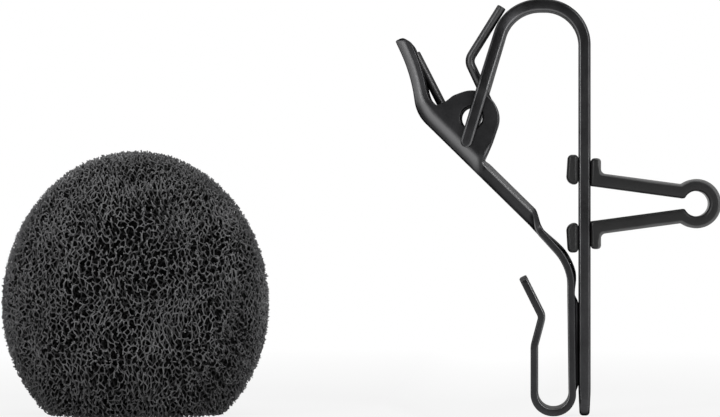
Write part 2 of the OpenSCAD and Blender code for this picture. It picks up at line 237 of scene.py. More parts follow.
# %% Path of the bow
CLIP = np.array([19.595, 0, 0])
WIRE = 1.05
LEG_Y = 1.175
BOW_TOP = 35.75
BOW_SPAN = 6.59
BOW_LEAN = np.radians(16.9)
PIVOT_Y = 3.35
PIVOT = np.array([-10.1994, 0, 23.87])
EAR_REACH = 5.1
BOW_BENDS = [3, 3.62, 3.46, 1.075]
BOW_STEP, BOW_TURN_STEP = 0.3, 0.06

up_bow = np.array([np.sin(BOW_LEAN), 0, np.cos(BOW_LEAN)])
pivot_end = PIVOT - [0, PIVOT_Y, 0]
front_half = np.array(
    [
        pivot_end,
        pivot_end + EAR_REACH * up_bow,
        [-BOW_SPAN, -LEG_Y, BOW_TOP],
        [0, -LEG_Y, BOW_TOP],
        [0, -LEG_Y, WIRE / 2],
    ]
)
back_half = front_half[::-1] * [1, -1, 1]
bow_bends = [*BOW_BENDS, *BOW_BENDS[::-1]]
bow_run = rounded_path([*front_half, *back_half], bow_bends, BOW_STEP, BOW_TURN_STEP)
print("bow wire in mm:", round(travel(bow_run)[-1], 1))


# %% Surface of the bow
def rounded_section(wide, deep, r, steps=8):
    """Rounded rectangles with half sizes wide and deep, and how near each point is to a corner's middle.

    A corner's middle lies r inside both edges, and the corner turns a quarter circle about it.
    """
    quarter = np.linspace(0, np.pi / 2, steps)
    angle = (np.arange(4)[:, None] * np.pi / 2 + quarter).ravel()
    x = np.repeat([1, -1, -1, 1], steps) * (wide - r)[:, None] + r[:, None] * np.cos(angle)
    y = np.repeat([1, 1, -1, -1], steps) * (deep - r)[:, None] + r[:, None] * np.sin(angle)
    return x, y, np.tile(np.sin(2 * quarter), 4)


END_TURN = np.radians([12, 24, 36, 48, 60, 71, 80])
WIRE_EDGE = 0.23
TOE_NARROW = 0.15
TOE_FULL, TOE_FROM = 0.3, 2.4
TOE_ROUND = 0.1
MOST_ROUND = 0.95

run_along = headings(bow_run)
first_end = bow_run[0] - np.sin(END_TURN[::-1])[:, None] * WIRE / 2 * run_along[0]
last_end = bow_run[-1] + np.sin(END_TURN)[:, None] * WIRE / 2 * run_along[-1]
bow_path = np.concatenate([first_end, bow_run, last_end])
bow_along = headings(bow_path)
rounding = np.concatenate([np.cos(END_TURN[::-1]), np.ones(len(bow_run)), np.cos(END_TURN)])
on_legs = np.abs(bow_path[:, :1]) < WIRE_EDGE
level = np.where(np.arange(len(bow_path)) < len(bow_path) / 2, 1, -1)[:, None] * [0, 1, 0]
level = level - (level * bow_along).sum(1, keepdims=True) * bow_along
bow_side = unit(np.where(on_legs, np.cross([1, 0, 0], bow_along), level))
toe = on_legs[:, 0] * (1 - smooth(bow_path[:, 2], TOE_FULL, TOE_FROM))
half_deep = np.full(len(bow_path), WIRE / 2)
half_wide = WIRE / 2 * rounding * (1 - TOE_NARROW * toe)
edge_r = np.minimum(WIRE_EDGE + TOE_ROUND * toe, MOST_ROUND * half_wide)
section_x, section_y, near_edge = rounded_section(half_deep, half_wide, edge_r)
bow_wire = swept(bow_path + CLIP, bow_along, bow_side, section_x, section_y)
print("points around and along the wire:", section_x.shape[::-1])


# %% Pivot stubs
def turned_solid(profile, count):
    """A solid turned about the Z axis: each profile point (r, z) goes round to (r cos a, r sin a, z).

    The profile's ends lie on the axis, and each becomes one point.
    """
    radius, height = np.asarray(profile, float).T
    angle = np.arange(count) / count * 2 * np.pi
    inner_r, inner_z = radius[1:-1, None], height[1:-1, None]
    rings = np.stack(
        [inner_r * np.cos(angle), inner_r * np.sin(angle), np.broadcast_to(inner_z, (len(inner_z), count))],
        axis=-1,
    )
    points = np.concatenate([rings.reshape(-1, 3), [[0, 0, height[0]], [0, 0, height[-1]]]])
    here = np.arange(count)
    after = np.roll(here, -1)
    last = (len(inner_r) - 1) * count
    pole = np.full(count, len(points) - 2)
    first_fan = np.stack([pole, after, here], axis=-1)
    last_fan = np.stack([pole + 1, here + last, after + last], axis=-1)
    return points, outward(points, [grid(len(inner_r), count, around=True), first_fan, last_fan])


def mirrored(solid):
    """The same solid on the other side of the clip's middle plane."""
    points, faces = solid
    return points * [1, -1, 1], [group[:, ::-1] for group in faces]


STUB_R, STUB_EDGE = 0.5, 0.1
STUB_FROM = 2.125
STUB_SIDES = 48
stub_profile = [
    [0, STUB_FROM],
    [STUB_R - STUB_EDGE, STUB_FROM],
    [STUB_R, STUB_FROM + STUB_EDGE],
    [STUB_R, PIVOT_Y],
    [0, PIVOT_Y],
]
stub_points, stub_faces = turned_solid(stub_profile, STUB_SIDES)
stub_points = stub_points[:, [0, 2, 1]] + PIVOT + CLIP
stub = (stub_points, outward(stub_points, stub_faces))
print("pivot stubs in mm:", round(PIVOT_Y - STUB_FROM, 3))

# %% Bow's piece, its wear and its painted highlights
OUTER_WEAR_AND_SHEEN = 0.25
bow = make_piece("bow", mesh_from("bow", *joined(bow_wire, stub, mirrored(stub))), "wire_bow")
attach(bow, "bow")
even_normals(bow)
# The wire's corners are marked paler. This is partly wear of the coat and partly painted highlight for the
# bright lines along its edges, fuller on the inside of the bow.
from_path = bow_wire[0][: section_x.size].reshape(*section_x.shape, 3) - (bow_path + CLIP)[:, None]
inwards = (bow_path.mean(axis=0) - bow_path) * [1, 0, 1]
on_inside = (from_path * inwards[:, None]).sum(-1) > 0
mark_points(bow.data, "paleness", near_edge * np.where(on_inside, 1, OUTER_WEAR_AND_SHEEN))

# %% [markdown]
# ## The jaw lever
# The lever is pressed from one strip of sheet metal: a thumb plate with turned-in edges, two ears that
# carry the pivot and the spring, an arm with raised sides, a flat strip, and a hook. Joining separate
# blocks would show seams that a pressing doesn't have. So the lever is one sheet here. The flat blank
# has a half width at each place along it, and a fold turns its sides up by an angle that changes along
# the way, from the deep ears to the flat strip.

# %% Middle line of the lever
SHEET = 0.65
WEB_DROP = 1.08
ARM_SLOPE = np.radians(44.467)
THUMB_TURN, THUMB_CURL = np.radians(38), np.radians(17)
THUMB_BACK, THUMB_HALF = 4.7, 3.35
ARM_REACH = 9
STRIP_TOP = [-1.2, 13.06]
STRIP_X, HOOK_X, HOOK_KNEE_X = -1.04, -4.36, -3.68
LOOP_Z, HOOK_Z, HOOK_KNEE_Z = 0.375, 6.1, 8.66
TIP_BACK, TIP_Z = 1.72, 12.1
LEVER_BENDS = [14.16, 3, 6, 4.7, 1.61, 1.61, 0.9, 0.9]
LINE_STEP, LINE_TURN_STEP = 0.03, 0.015

pivot_xz = PIVOT[[0, 2]]
arm_along = np.array([np.cos(ARM_SLOPE), -np.sin(ARM_SLOPE)])
arm_up = np.array([np.sin(ARM_SLOPE), np.cos(ARM_SLOPE)])


def on_arm(along, up):
    """Place in the side view, from distances along the arm and square to it, measured from the pivot."""
    return pivot_xz + along * arm_along + up * arm_up


def arm_turned(angle):
    """Direction in the side view at an angle from the arm, towards the spring."""
    return np.cos(angle) * arm_along + np.sin(angle) * arm_up


thumb_bend = on_arm(-THUMB_BACK, -WEB_DROP)
thumb_knee = thumb_bend + THUMB_HALF * arm_turned(np.pi - THUMB_TURN)
thumb_end = arm_turned(np.pi - THUMB_TURN + THUMB_CURL)
thumb_tip = thumb_knee + THUMB_HALF * thumb_end
lever_corners = [
    thumb_tip,
    thumb_knee,
    thumb_bend,
    on_arm(ARM_REACH, -WEB_DROP),
    STRIP_TOP,
    [STRIP_X, LOOP_Z],
    [HOOK_X, LOOP_Z],
    [HOOK_X, HOOK_Z],
    [HOOK_KNEE_X, HOOK_KNEE_Z],
    [HOOK_KNEE_X - TIP_BACK, TIP_Z],
]
lever_line = rounded_path(lever_corners, LEVER_BENDS, LINE_STEP, LINE_TURN_STEP)
line_at = travel(lever_line)
straight = np.abs((lever_line - on_arm(0, -WEB_DROP)) @ arm_up) < TINY
at_pivot = np.interp(0, (lever_line[straight] - pivot_xz) @ arm_along, line_at[straight])
print("blank in mm:", round(line_at[-1], 1), "with the pivot at", round(at_pivot, 2))

# %% [markdown]
# The rows of the sheet lie closer together where its outline changes quickly: at both ends, at the foot
# of the ears and where the raised sides stop. Each place is known by its distance from the pivot, along
# the blank, which is negative towards the thumb plate.

# %% Rows along the lever
END_STEPS = np.array([0, 0.012, 0.04, 0.08, 0.13, 0.2, 0.28, 0.37, 0.47, 0.6, 0.75, 0.9, 1.05, 1.2])
THUMB_ROWS_FROM, STRIP_ROWS_TO = 1.33, 1.25
ARM_ROW, EAR_FOOT_ROW, SIDE_STOP_ROW, STRIP_ROW = 0.13, 0.05, 0.04, 0.17
ARM_STOP = 9.6
EAR_FOOT = (2.1, 3)
SIDE_STOP = (8, 8.8)
LEAST_ROW = 0.006
length = line_at[-1]
arm_stop = at_pivot + ARM_STOP
row_at = np.concatenate(
    [
        END_STEPS,
        np.arange(THUMB_ROWS_FROM, arm_stop, ARM_ROW),
        np.arange(at_pivot + EAR_FOOT[0], at_pivot + EAR_FOOT[1], EAR_FOOT_ROW),
        np.arange(at_pivot + SIDE_STOP[0], at_pivot + SIDE_STOP[1], SIDE_STOP_ROW),
        np.arange(arm_stop, length - STRIP_ROWS_TO, STRIP_ROW),
        length - END_STEPS[::-1],
    ]
)
row_at = np.unique(row_at.round(3))
row_at = row_at[np.concatenate([[True], np.diff(row_at) > LEAST_ROW])]
row_xz = np.stack([np.interp(row_at, line_at, lever_line[:, k]) for k in range(2)], axis=-1)
line_along = headings(lever_line)
row_along = unit(np.stack([np.interp(row_at, line_at, line_along[:, k]) for k in range(2)], axis=-1))
row_normal = np.stack([-row_along[:, 1], row_along[:, 0]], axis=-1)
place = row_at - at_pivot
print("rows along the lever:", len(row_at))

# %% Outline of the ears
EYE_AT = np.array([-1.16, 1.775])
EAR_R = 2.35
EAR_FEET = np.array([[-4.75, -0.3], [2.45, -0.3]])

to_feet = EAR_FEET - EYE_AT
foot_bearing = np.arctan2(to_feet[:, 1], to_feet[:, 0]) + [2 * np.pi, 0]
spread = np.arccos(EAR_R / np.linalg.norm(to_feet, axis=1)) * [-1, 1]
touch = EYE_AT + EAR_R * np.stack([np.cos(foot_bearing + spread), np.sin(foot_bearing + spread)], axis=-1)
crown = EYE_AT[1] + np.sqrt(np.maximum(EAR_R**2 - (place - EYE_AT[0]) ** 2, 0))
left_edge = np.interp(place, [EAR_FEET[0, 0], touch[0, 0]], [EAR_FEET[0, 1], touch[0, 1]])
right_edge = np.interp(place, [touch[1, 0], EAR_FEET[1, 0]], [touch[1, 1], EAR_FEET[1, 1]])
ear_top = np.where(place < touch[0, 0], left_edge, np.where(place > touch[1, 0], right_edge, crown))
print("ears rise to", round(ear_top.max(), 2), "mm above the pivot's line")

# %% [markdown]
# Four numbers describe the folded section at each row: the half width of the flat middle, the length of
# the round fold, the length of the straight side past it, and the fold's angle. The thumb plate, the
# ears, the arm and the strip each have their own four, with soft changes between them.

# %% Fold along the lever
FLAT = (1.75, 1.4, 1.25, 1.2)
FOLD = (0.859, 1.571, 0.803, 0.8)
LOW_SIDE, ARM_SIDE, STRIP_SIDE = 0.42, 0.8, 0.3
ARM_RISE = 0.88
EDGE = 0.12
LEAST_SIDE = EDGE + 0.03
ANGLE = np.radians((82, 90, 46, 0.01))
EAR_FOLD_R = 1.0
EAR_FILLET = 0.07
EAR_FROM, ARM_FROM, STRIP_FROM = (-6.4, -4.4), (1.5, 2.9), (8.25, 10.3)
EAR_SPAN = (-5.2, 2.4)
SIDE_FALL = (8.2, 9.8)

to_ear = smooth(place, *EAR_FROM)
to_arm = smooth(place, *ARM_FROM)
to_strip = smooth(place, *STRIP_FROM)


def along_lever(thumb, ear, arm, strip):
    """A number that passes from one part of the lever to the next in soft steps."""
    return thumb + (ear - thumb) * to_ear + (arm - ear) * to_arm + (strip - arm) * to_strip


flat, fold, angle = along_lever(*FLAT), along_lever(*FOLD), along_lever(*ANGLE)
level_side = np.clip((ARM_RISE - (1 - np.cos(angle)) * fold / angle) / np.sin(angle), LEAST_SIDE, ARM_SIDE)
side = np.where(place < 0, LOW_SIDE, level_side) - (ARM_SIDE - STRIP_SIDE) * smooth(place, *SIDE_FALL)
ear_side = ear_top + WEB_DROP - EAR_FOLD_R
ear_gap = ear_side - side
on_ears = (place > EAR_SPAN[0]) * (place < EAR_SPAN[1])
side = side + (ear_gap + np.sqrt(ear_gap**2 + EAR_FILLET**2)) / 2 * on_ears
print("longest side in mm:", round(side.max(), 2))


# %% Rounded ends of the blank
THUMB_ROUND, TIP_ROUND = 1.15, 0.45
LEAST_FOLD = 0.1


def end_cut(distance, r):
    """How much a round corner of radius r takes off the half width at a distance from the end."""
    return r - np.sqrt(np.maximum(r**2 - np.maximum(r - distance, 0) ** 2, 0))


cut = end_cut(row_at, THUMB_ROUND) + end_cut(length - row_at, TIP_ROUND)
side_left = np.maximum(side - cut, LEAST_SIDE)
fold_left = np.maximum(fold - np.maximum(cut - (side - side_left), 0), LEAST_FOLD)
angle = angle * fold_left / fold
side, fold = side_left, fold_left
print("widest blank in mm:", round(2 * (flat + fold + side).max(), 2))

# %% [markdown]
# In the flat blank, the section is a thin rounded rectangle. Its points have a place across the blank and
# a height through the sheet. Folding moves them: up to the flat's end they stay level, through the fold
# they turn about its middle, and past it they climb at the fold's angle. Two pressed forms are added:
# the strip is crowned where it turns down, and it has a raised grip where it meets the bow's legs.

# %% Section of the blank
counts = {"flat": 6, "fold": 11, "side": 26}
share = {name: np.arange(1, count + 1) / count for name, count in counts.items()}
across = np.concatenate(
    [
        np.zeros((len(place), 1)),
        flat[:, None] * share["flat"],
        flat[:, None] + fold[:, None] * share["fold"],
        (flat + fold)[:, None] + (side - EDGE)[:, None] * share["side"],
    ],
    axis=1,
)
shell = np.concatenate([-across[:, :0:-1], across], axis=1)
end_distance = np.minimum(row_at, length - row_at)
half_sheet = SHEET / 2 - end_cut(end_distance, EDGE)
rim_turn = np.radians([15, 30, 45, 60, 75, 90])
rim_out = EDGE * np.sin(np.concatenate([rim_turn, rim_turn[::-1]]))
rim_through = np.concatenate([np.cos(rim_turn), -np.cos(rim_turn[::-1])]) * EDGE
rim_side = np.repeat([1, -1], len(rim_turn))
rim_across = across[:, -1:] + rim_out
rim_height = rim_side * np.maximum(half_sheet - EDGE, 0)[:, None] + rim_through
loop_across = np.concatenate([shell, rim_across, shell[:, ::-1], -rim_across], axis=1)
through = np.broadcast_to(half_sheet[:, None], shell.shape)
loop_height = np.concatenate([-through, -rim_height, through, rim_height], axis=1)
print("points around the section:", loop_across.shape[1])

# %% Folded sheet
CROWN_RISE = 0.26
CROWN_LOW, CROWN_HIGH = (10.6, 12.6), (14.2, 16.4)
DOWN_RUN = (8, 30)
GRIP_FACE = -0.535
GRIP_LOW, GRIP_HIGH = (2.1, 2.8), (9.8, 10.6)
GRIP_EDGE = (1.5, 1.95)
STRIP_NEAR = 0.3


def folded(across, height, flat, fold, angle):
    """Where points of the blank go in the folded section, as (depth, rise) arrays."""
    reach = np.abs(across)
    turned = np.clip((reach - flat) / fold, 0, 1) * angle
    r = fold / angle
    past = np.maximum(reach - flat - fold, 0)
    depth = np.minimum(reach, flat) + r * np.sin(turned) + past * np.cos(angle)
    rise = r * (1 - np.cos(turned)) + past * np.sin(angle)
    return np.sign(across) * (depth - height * np.sin(turned)), rise + height * np.cos(turned)


depth, rise = folded(loop_across, loop_height, flat[:, None], fold[:, None], angle[:, None])
row_z = row_xz[:, 1]
going_down = (place > DOWN_RUN[0]) & (place < DOWN_RUN[1])
crowned = CROWN_RISE * hill(row_z, CROWN_LOW, CROWN_HIGH) * going_down
half_width = (flat + fold + side)[:, None]
rise = rise + crowned[:, None] * (1 - (loop_across / half_width) ** 2)
gripping = hill(row_z, GRIP_LOW, GRIP_HIGH) * (np.abs(row_xz[:, 0] - STRIP_X) < STRIP_NEAR)
grip_rise = (GRIP_FACE - SHEET / 2 - row_xz[:, 0]) * gripping
rise = rise + grip_rise[:, None] * (1 - smooth(np.abs(loop_across), *GRIP_EDGE))
side_view = row_xz[:, None] + rise[..., None] * row_normal[:, None]
sheet_points = np.stack([side_view[..., 0], depth, side_view[..., 1]], axis=-1)
print("points of the sheet:", sheet_points.shape[:2])

# %% [markdown]
# Each ear has a round eye. Both skins of the sheet have the same grid, so the squares inside the eye are
# left out of both, the corners around the hole are moved onto its circle, and the two rims are joined by
# a wall. A turned collar then goes on from each hole, inwards, to carry the spring's coil.

# %% Eyes in the ears
EYE_CUT = 0.97
wide = shell.shape[1]
rim_count = rim_across.shape[1]
rows, around = sheet_points.shape[:2]
arm_place = np.stack([(side_view - pivot_xz) @ arm_along, (side_view - pivot_xz) @ arm_up], axis=-1)
from_eye = arm_place - EYE_AT
index = np.arange(rows * around).reshape(rows, around)
outer = index[:, :wide]
inner = index[:, wide + rim_count : 2 * wide + rim_count][:, ::-1]
middle = (from_eye[:-1, : wide - 1] + from_eye[1:, 1:wide]) / 2
hole = np.linalg.norm(middle, axis=-1) < EYE_CUT
kept_loop = np.ones((rows - 1, around), bool)
kept_loop[:, : wide - 1] = ~hole
kept_loop[:, wide + rim_count : 2 * wide + rim_count - 1] = ~hole[:, ::-1]
print("squares left out for the eyes:", int(hole.sum()))

# %% Walls of the eyes
padded_hole = np.pad(hole, 1)
sides_of = {
    (0, 1): ((0, 0), (0, 1)),
    (1, 2): ((0, 1), (1, 1)),
    (2, 1): ((1, 1), (1, 0)),
    (1, 0): ((1, 0), (0, 0)),
}
walls = []
rim_corners = []
for (down, right), (first, second) in sides_of.items():
    neighbour = padded_hole[down : down + hole.shape[0], right : right + hole.shape[1]]
    i, j = np.nonzero(hole & ~neighbour)
    one, two = (i + first[0], j + first[1]), (i + second[0], j + second[1])
    walls.append(np.stack([outer[one], outer[two], inner[two], inner[one]], axis=-1))
    rim_corners += [outer[one], inner[one]]
rim_corners = np.unique(np.concatenate(rim_corners))
flat_eye = from_eye.reshape(-1, 2)[rim_corners]
onto_circle = flat_eye * (EYE_CUT / np.linalg.norm(flat_eye, axis=1, keepdims=True) - 1)
sheet_points = sheet_points.reshape(-1, 3)
moved = onto_circle[:, :1] * arm_along + onto_circle[:, 1:] * arm_up
sheet_points[rim_corners] += np.stack([moved[:, 0], np.zeros(len(moved)), moved[:, 1]], axis=-1)
squares = grid(rows, around, around=True)[kept_loop.ravel()]
sheet_faces = [squares, np.concatenate(walls), index[:1, ::-1], index[-1:]]
print("corners moved onto the eyes' circles:", len(rim_corners))


# %% Collars
def turned_ring(profile, at, count=72):
    """A closed profile of (radius, depth) points, turned about a line along Y through a point.

    A profile point goes round to (x + r cos a, depth, z + r sin a).
    """
    angle = np.arange(count) / count * 2 * np.pi
    radius, depth = np.asarray(profile, float).T
    points = np.stack(
        [
            at[0] + np.cos(angle)[:, None] * radius,
            np.broadcast_to(depth, (count, len(depth))),
            at[2] + np.sin(angle)[:, None] * radius,
        ],
        axis=-1,
    ).reshape(-1, 3)
    faces = grid(count, len(radius), around=True)
    seam = np.arange(len(radius))
    beyond = (count - 1) * len(radius)
    closing = np.stack([seam + beyond, np.roll(seam, -1) + beyond, np.roll(seam, -1), seam], axis=-1)
    return points, outward(points, [faces, closing])


EAR_IN = 2.075
EYE_R, COLLAR_R, COLLAR_LEN = 0.94, 1.35, 0.7
COLLAR_END = EAR_IN - COLLAR_LEN
INTO_EYE, INTO_EAR, EYE_LAP = 0.5, 0.1, 0.04
COLLAR_EDGE, COLLAR_SOFT, BORE_EDGE = 0.12, 0.035, 0.08
eye_xz = on_arm(*EYE_AT)
eye_point = np.array([eye_xz[0], 0, eye_xz[1]])
collar_profile = [
    [EYE_R, EAR_IN + INTO_EYE],
    [EYE_CUT + EYE_LAP, EAR_IN + INTO_EYE],
    [EYE_CUT + EYE_LAP, EAR_IN + INTO_EAR],
    [COLLAR_R, EAR_IN + INTO_EAR],
    [COLLAR_R, COLLAR_END + COLLAR_EDGE],
    [COLLAR_R - COLLAR_SOFT, COLLAR_END + COLLAR_SOFT],
    [COLLAR_R - COLLAR_EDGE, COLLAR_END],
    [EYE_R + BORE_EDGE, COLLAR_END],
    [EYE_R, COLLAR_END + BORE_EDGE],
]
collar = turned_ring(collar_profile, eye_point + CLIP)
print("collars reach in to", round(COLLAR_END, 3), "mm from the middle")

# %% [markdown]
# The outsides of the bends at the thumb plate, the ears and the arm are paler as a painted highlight, for
# the light these rounded folds catch. The coat wears off where a finger or cloth rubs: on the upper edges
# of the ears and the arm's sides, along the strip's edges and at the hook's tip. These paler rims also
# stand in part for painted highlight lines along the edges. A number from 0 to 1 at each point says how
# much, for the finish to read.

# %% Lever's piece, its wear and its painted highlights
THUMB_BEND_HIGHLIGHT = (0.05, 0.4), (0.85, 1)
EAR_BEND_HIGHLIGHT = (0.15, 0.7), (0.78, 1)
ARM_BEND_HIGHLIGHT, ARM_BEND_FADE = 0.6, (0.2, 0.7)
EAR_TOP_WEAR_AND_SHEEN, EAR_TOP_FROM = 0.3, (-5, -3)
ARM_TOP_FROM, ARM_TOP_TO = (1.5, 2.5), (8.0, 8.5)
TIP_WEAR_AND_SHEEN, TIP_FADE = 0.6, (0.1, 0.4)
STRIP_WEAR_AND_SHEEN_FROM = (8.6, 9.4)
sheet_solid = (sheet_points + CLIP, outward(sheet_points, sheet_faces))
lever_mesh = mesh_from("lever", *joined(sheet_solid, collar, mirrored(collar)))
lever = make_piece("lever", lever_mesh, "jaw_lever")
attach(lever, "lever")
even_normals(lever)
# Painted highlight: the outsides of the bends at the thumb plate, the ears and the arm are marked paler,
# for the light these rounded folds catch.
through_fold = np.clip((np.abs(shell) - flat[:, None]) / fold[:, None], 0, 1)
on_thumb = hill(through_fold, *THUMB_BEND_HIGHLIGHT)
on_ear = hill(through_fold, *EAR_BEND_HIGHLIGHT)
on_arm_bend = ARM_BEND_HIGHLIGHT * (1 - smooth(through_fold, *ARM_BEND_FADE))
bends = on_thumb + (on_ear - on_thumb) * to_ear[:, None] + (on_arm_bend - on_ear) * to_arm[:, None]
pale_mix = np.zeros((rows, around), np.float32)
pale_mix[:, :wide] = bends * (1 - to_strip)[:, None]
# Wear and painted highlight: the rims are marked paler where they rub, and this also draws bright lines
# along the edges.
top_wear_and_sheen = EAR_TOP_WEAR_AND_SHEEN + (1 - EAR_TOP_WEAR_AND_SHEEN) * smooth(place, *ARM_TOP_FROM)
on_top = top_wear_and_sheen * hill(place, EAR_TOP_FROM, ARM_TOP_TO)
at_tip = TIP_WEAR_AND_SHEEN * (1 - smooth(length - row_at, *TIP_FADE))
round_edge = np.concatenate([np.sin(2 * rim_turn), np.zeros(len(rim_turn))])
on_strip_edge = smooth(place, *STRIP_WEAR_AND_SHEEN_FROM)[:, None] * round_edge
rim_paleness = np.maximum(np.maximum(on_top, at_tip)[:, None], on_strip_edge)
pale_mix[:, wide : wide + rim_count] = rim_paleness
pale_mix[:, 2 * wide + rim_count :] = rim_paleness[:, ::-1]
mark_points(lever_mesh, "paleness", pale_mix)

# %% [markdown]
# ## The torsion spring
# The spring is one round wire. One arm lies under the thumb plate, two and a half turns wind round the
# collars between the ears, and the other arm is bent to lie against the bow. It is a round section carried
# along that path. When the thumb plate is pressed, the coil turns with the lever while the far arm stays
# on the bow.

# %% Path of the spring
SPRING_R = 0.4
COIL_R, COIL_Y = 1.85, 1.575
RINGS_A_TURN, WIRE_SIDES = 48, 20
REST_ARM_LEAN, REST_LEAN = np.radians(25), np.radians(32)
TOUCH = 0.05
THUMB_HOLD, REST_TAIL, REST_BEND = 1.5, 1.2, 1.0
ARM_STEP, ARM_TURN_STEP = 0.3, 0.1
BOW_BEND = np.array([-3.906, 32.13])

thumb_inward = arm_turned(np.pi / 2 - THUMB_TURN + THUMB_CURL)
thumb_spot = thumb_tip - THUMB_HOLD * thumb_end + (SHEET / 2 + TOUCH + SPRING_R) * thumb_inward
to_eye = eye_xz - thumb_spot
arm_heading = np.arctan2(to_eye[1], to_eye[0]) - np.arcsin(COIL_R / np.linalg.norm(to_eye))
coil_from = arm_heading - np.pi / 2
coil_turn = REST_ARM_LEAN + 4 * np.pi - coil_from
ring_count = int(RINGS_A_TURN * coil_turn / (2 * np.pi))
coil_share = np.arange(ring_count + 1) / ring_count
coil_angle = coil_from + coil_turn * coil_share
coil = np.stack(
    [
        eye_xz[0] + COIL_R * np.cos(coil_angle),
        COIL_Y * (1 - 2 * coil_share),
        eye_xz[1] + COIL_R * np.sin(coil_angle),
    ],
    axis=-1,
)
leaving = np.array([-np.sin(REST_ARM_LEAN), np.cos(REST_ARM_LEAN)])
end_along = np.array([np.sin(REST_LEAN), np.cos(REST_LEAN)])
end_out = np.array([-np.cos(REST_LEAN), np.sin(REST_LEAN)])
rest_spot = BOW_BEND + (BOW_BENDS[1] + WIRE / 2 + TOUCH + SPRING_R) * end_out
left_coil = coil[-1, [0, 2]]
arm_run = (rest_spot - left_coil) @ end_out / (leaving @ end_out)
arm_xz = [left_coil, left_coil + arm_run * leaving, rest_spot + REST_TAIL * end_along]
rest_arm = rounded_path([[x, -COIL_Y, z] for x, z in arm_xz], [REST_BEND], ARM_STEP, ARM_TURN_STEP)
thumb_arm = run(np.array([thumb_spot[0], COIL_Y, thumb_spot[1]]), coil[0], ARM_STEP)
spring_run = np.concatenate([thumb_arm, coil, rest_arm[1:]])
print("turns of the coil:", round(coil_turn / (2 * np.pi), 2))

# %% Surface of the spring
SPRING_TIP = 0.12
TIP_STEPS = np.array([0.0, 0.02, 0.06, SPRING_TIP])
spring_at = travel(spring_run)
spring_rows = np.unique(np.concatenate([TIP_STEPS, spring_at[1:-1], spring_at[-1] - TIP_STEPS]).round(4))
spring_path = np.stack([np.interp(spring_rows, spring_at, spring_run[:, k]) for k in range(3)], axis=-1)
spring_along = headings(spring_path)
spring_side = unit(np.cross(np.cross(spring_along, [0, 1, 0]), spring_along))
tip_distance = np.minimum(spring_rows, spring_rows[-1] - spring_rows)
spring_r = SPRING_R - end_cut(tip_distance, SPRING_TIP)
round_angle = np.arange(WIRE_SIDES) / WIRE_SIDES * 2 * np.pi
spring_solid = swept(
    spring_path + CLIP,
    spring_along,
    spring_side,
    spring_r[:, None] * np.cos(round_angle),
    spring_r[:, None] * np.sin(round_angle),
)
spring = make_piece("spring", mesh_from("spring", *spring_solid), "torsion_spring")
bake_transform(spring)
print("spring wire in mm:", round(spring_rows[-1], 1))

# %% [markdown]
# ## The ring holder
# The holder is moulded in black plastic: two springy arms with a slotted ring at the end, and at the bow
# two feet whose pads and tabs straddle the wire's legs. In the side view the arms and the ring are one
# band, from the top of the upper tab round the ring to the foot of the lower tab. So two lines are drawn
# in the side view, one for each edge of the band, with the same number of points between matching places.
# A rounded section then spans the two lines, point by point.

# %% Places along the arm and ring
RING_Z, RING_X = 18.48, 9.67
RING_R, BORE_R = 2.14, 1.1
HOLDER_DEPTH = 4.0
FACE_X = 0.535
ARM_ROOT, MOUTH = 1.53, 0.43
ARM_THICK = 1.22
TAB_X, TAB_TOP = 1.425, 3.95
TAB_R, FOOT_R, MOUTH_R, JOINT_R = 0.42, 0.12, 0.22, 0.5


def arc(centre, r, first, last, count):
    """Points on a circle in the side view, from one angle to another in radians."""
    angle = np.linspace(first, last, count)
    return np.asarray(centre) + r * np.stack([np.cos(angle), np.sin(angle)], axis=-1)


def between(first, last, count):
    """Points on a straight line, with both of its ends."""
    return np.asarray(first) + (np.asarray(last) - first) * np.linspace(0, 1, count)[:, None]


mouth_x = RING_X - np.sqrt(BORE_R**2 - MOUTH**2)
arm_fall = np.arctan2(ARM_ROOT - MOUTH, mouth_x - FACE_X)
fall_along = np.array([np.cos(arm_fall), -np.sin(arm_fall)])
fall_up = np.array([np.sin(arm_fall), np.cos(arm_fall)])
arm_over = ARM_ROOT + ARM_THICK / np.cos(arm_fall)
tab_turn = np.pi / 2 - arm_fall
tab_foot = np.array([TAB_X, arm_over - (TAB_X - FACE_X) * np.tan(arm_fall)])
tab_back = TAB_R * np.tan(tab_turn / 2)
tab_centre = tab_foot + [TAB_R, tab_back]
foot_back = FOOT_R * np.tan(tab_turn / 2)
foot_corner = np.array([FACE_X, ARM_ROOT])
foot_centre = foot_corner + [FOOT_R, foot_back]
joint_height = (foot_corner - [RING_X, 0]) @ fall_up + ARM_THICK + JOINT_R
joint_run = -np.sqrt((RING_R + JOINT_R) ** 2 - joint_height**2)
joint_centre = [RING_X, 0] + joint_run * fall_along + joint_height * fall_up
to_ring = np.arctan2(-joint_centre[1], RING_X - joint_centre[0])
mouth_height = (foot_corner - [RING_X, 0]) @ fall_up + MOUTH_R
mouth_run = -np.sqrt((BORE_R + MOUTH_R) ** 2 - mouth_height**2)
mouth_centre = [RING_X, 0] + mouth_run * fall_along + mouth_height * fall_up
to_bore = np.arctan2(-mouth_centre[1], RING_X - mouth_centre[0])
down = -np.pi / 2 - arm_fall
print("arms slope by", round(np.degrees(arm_fall), 1), "degrees")

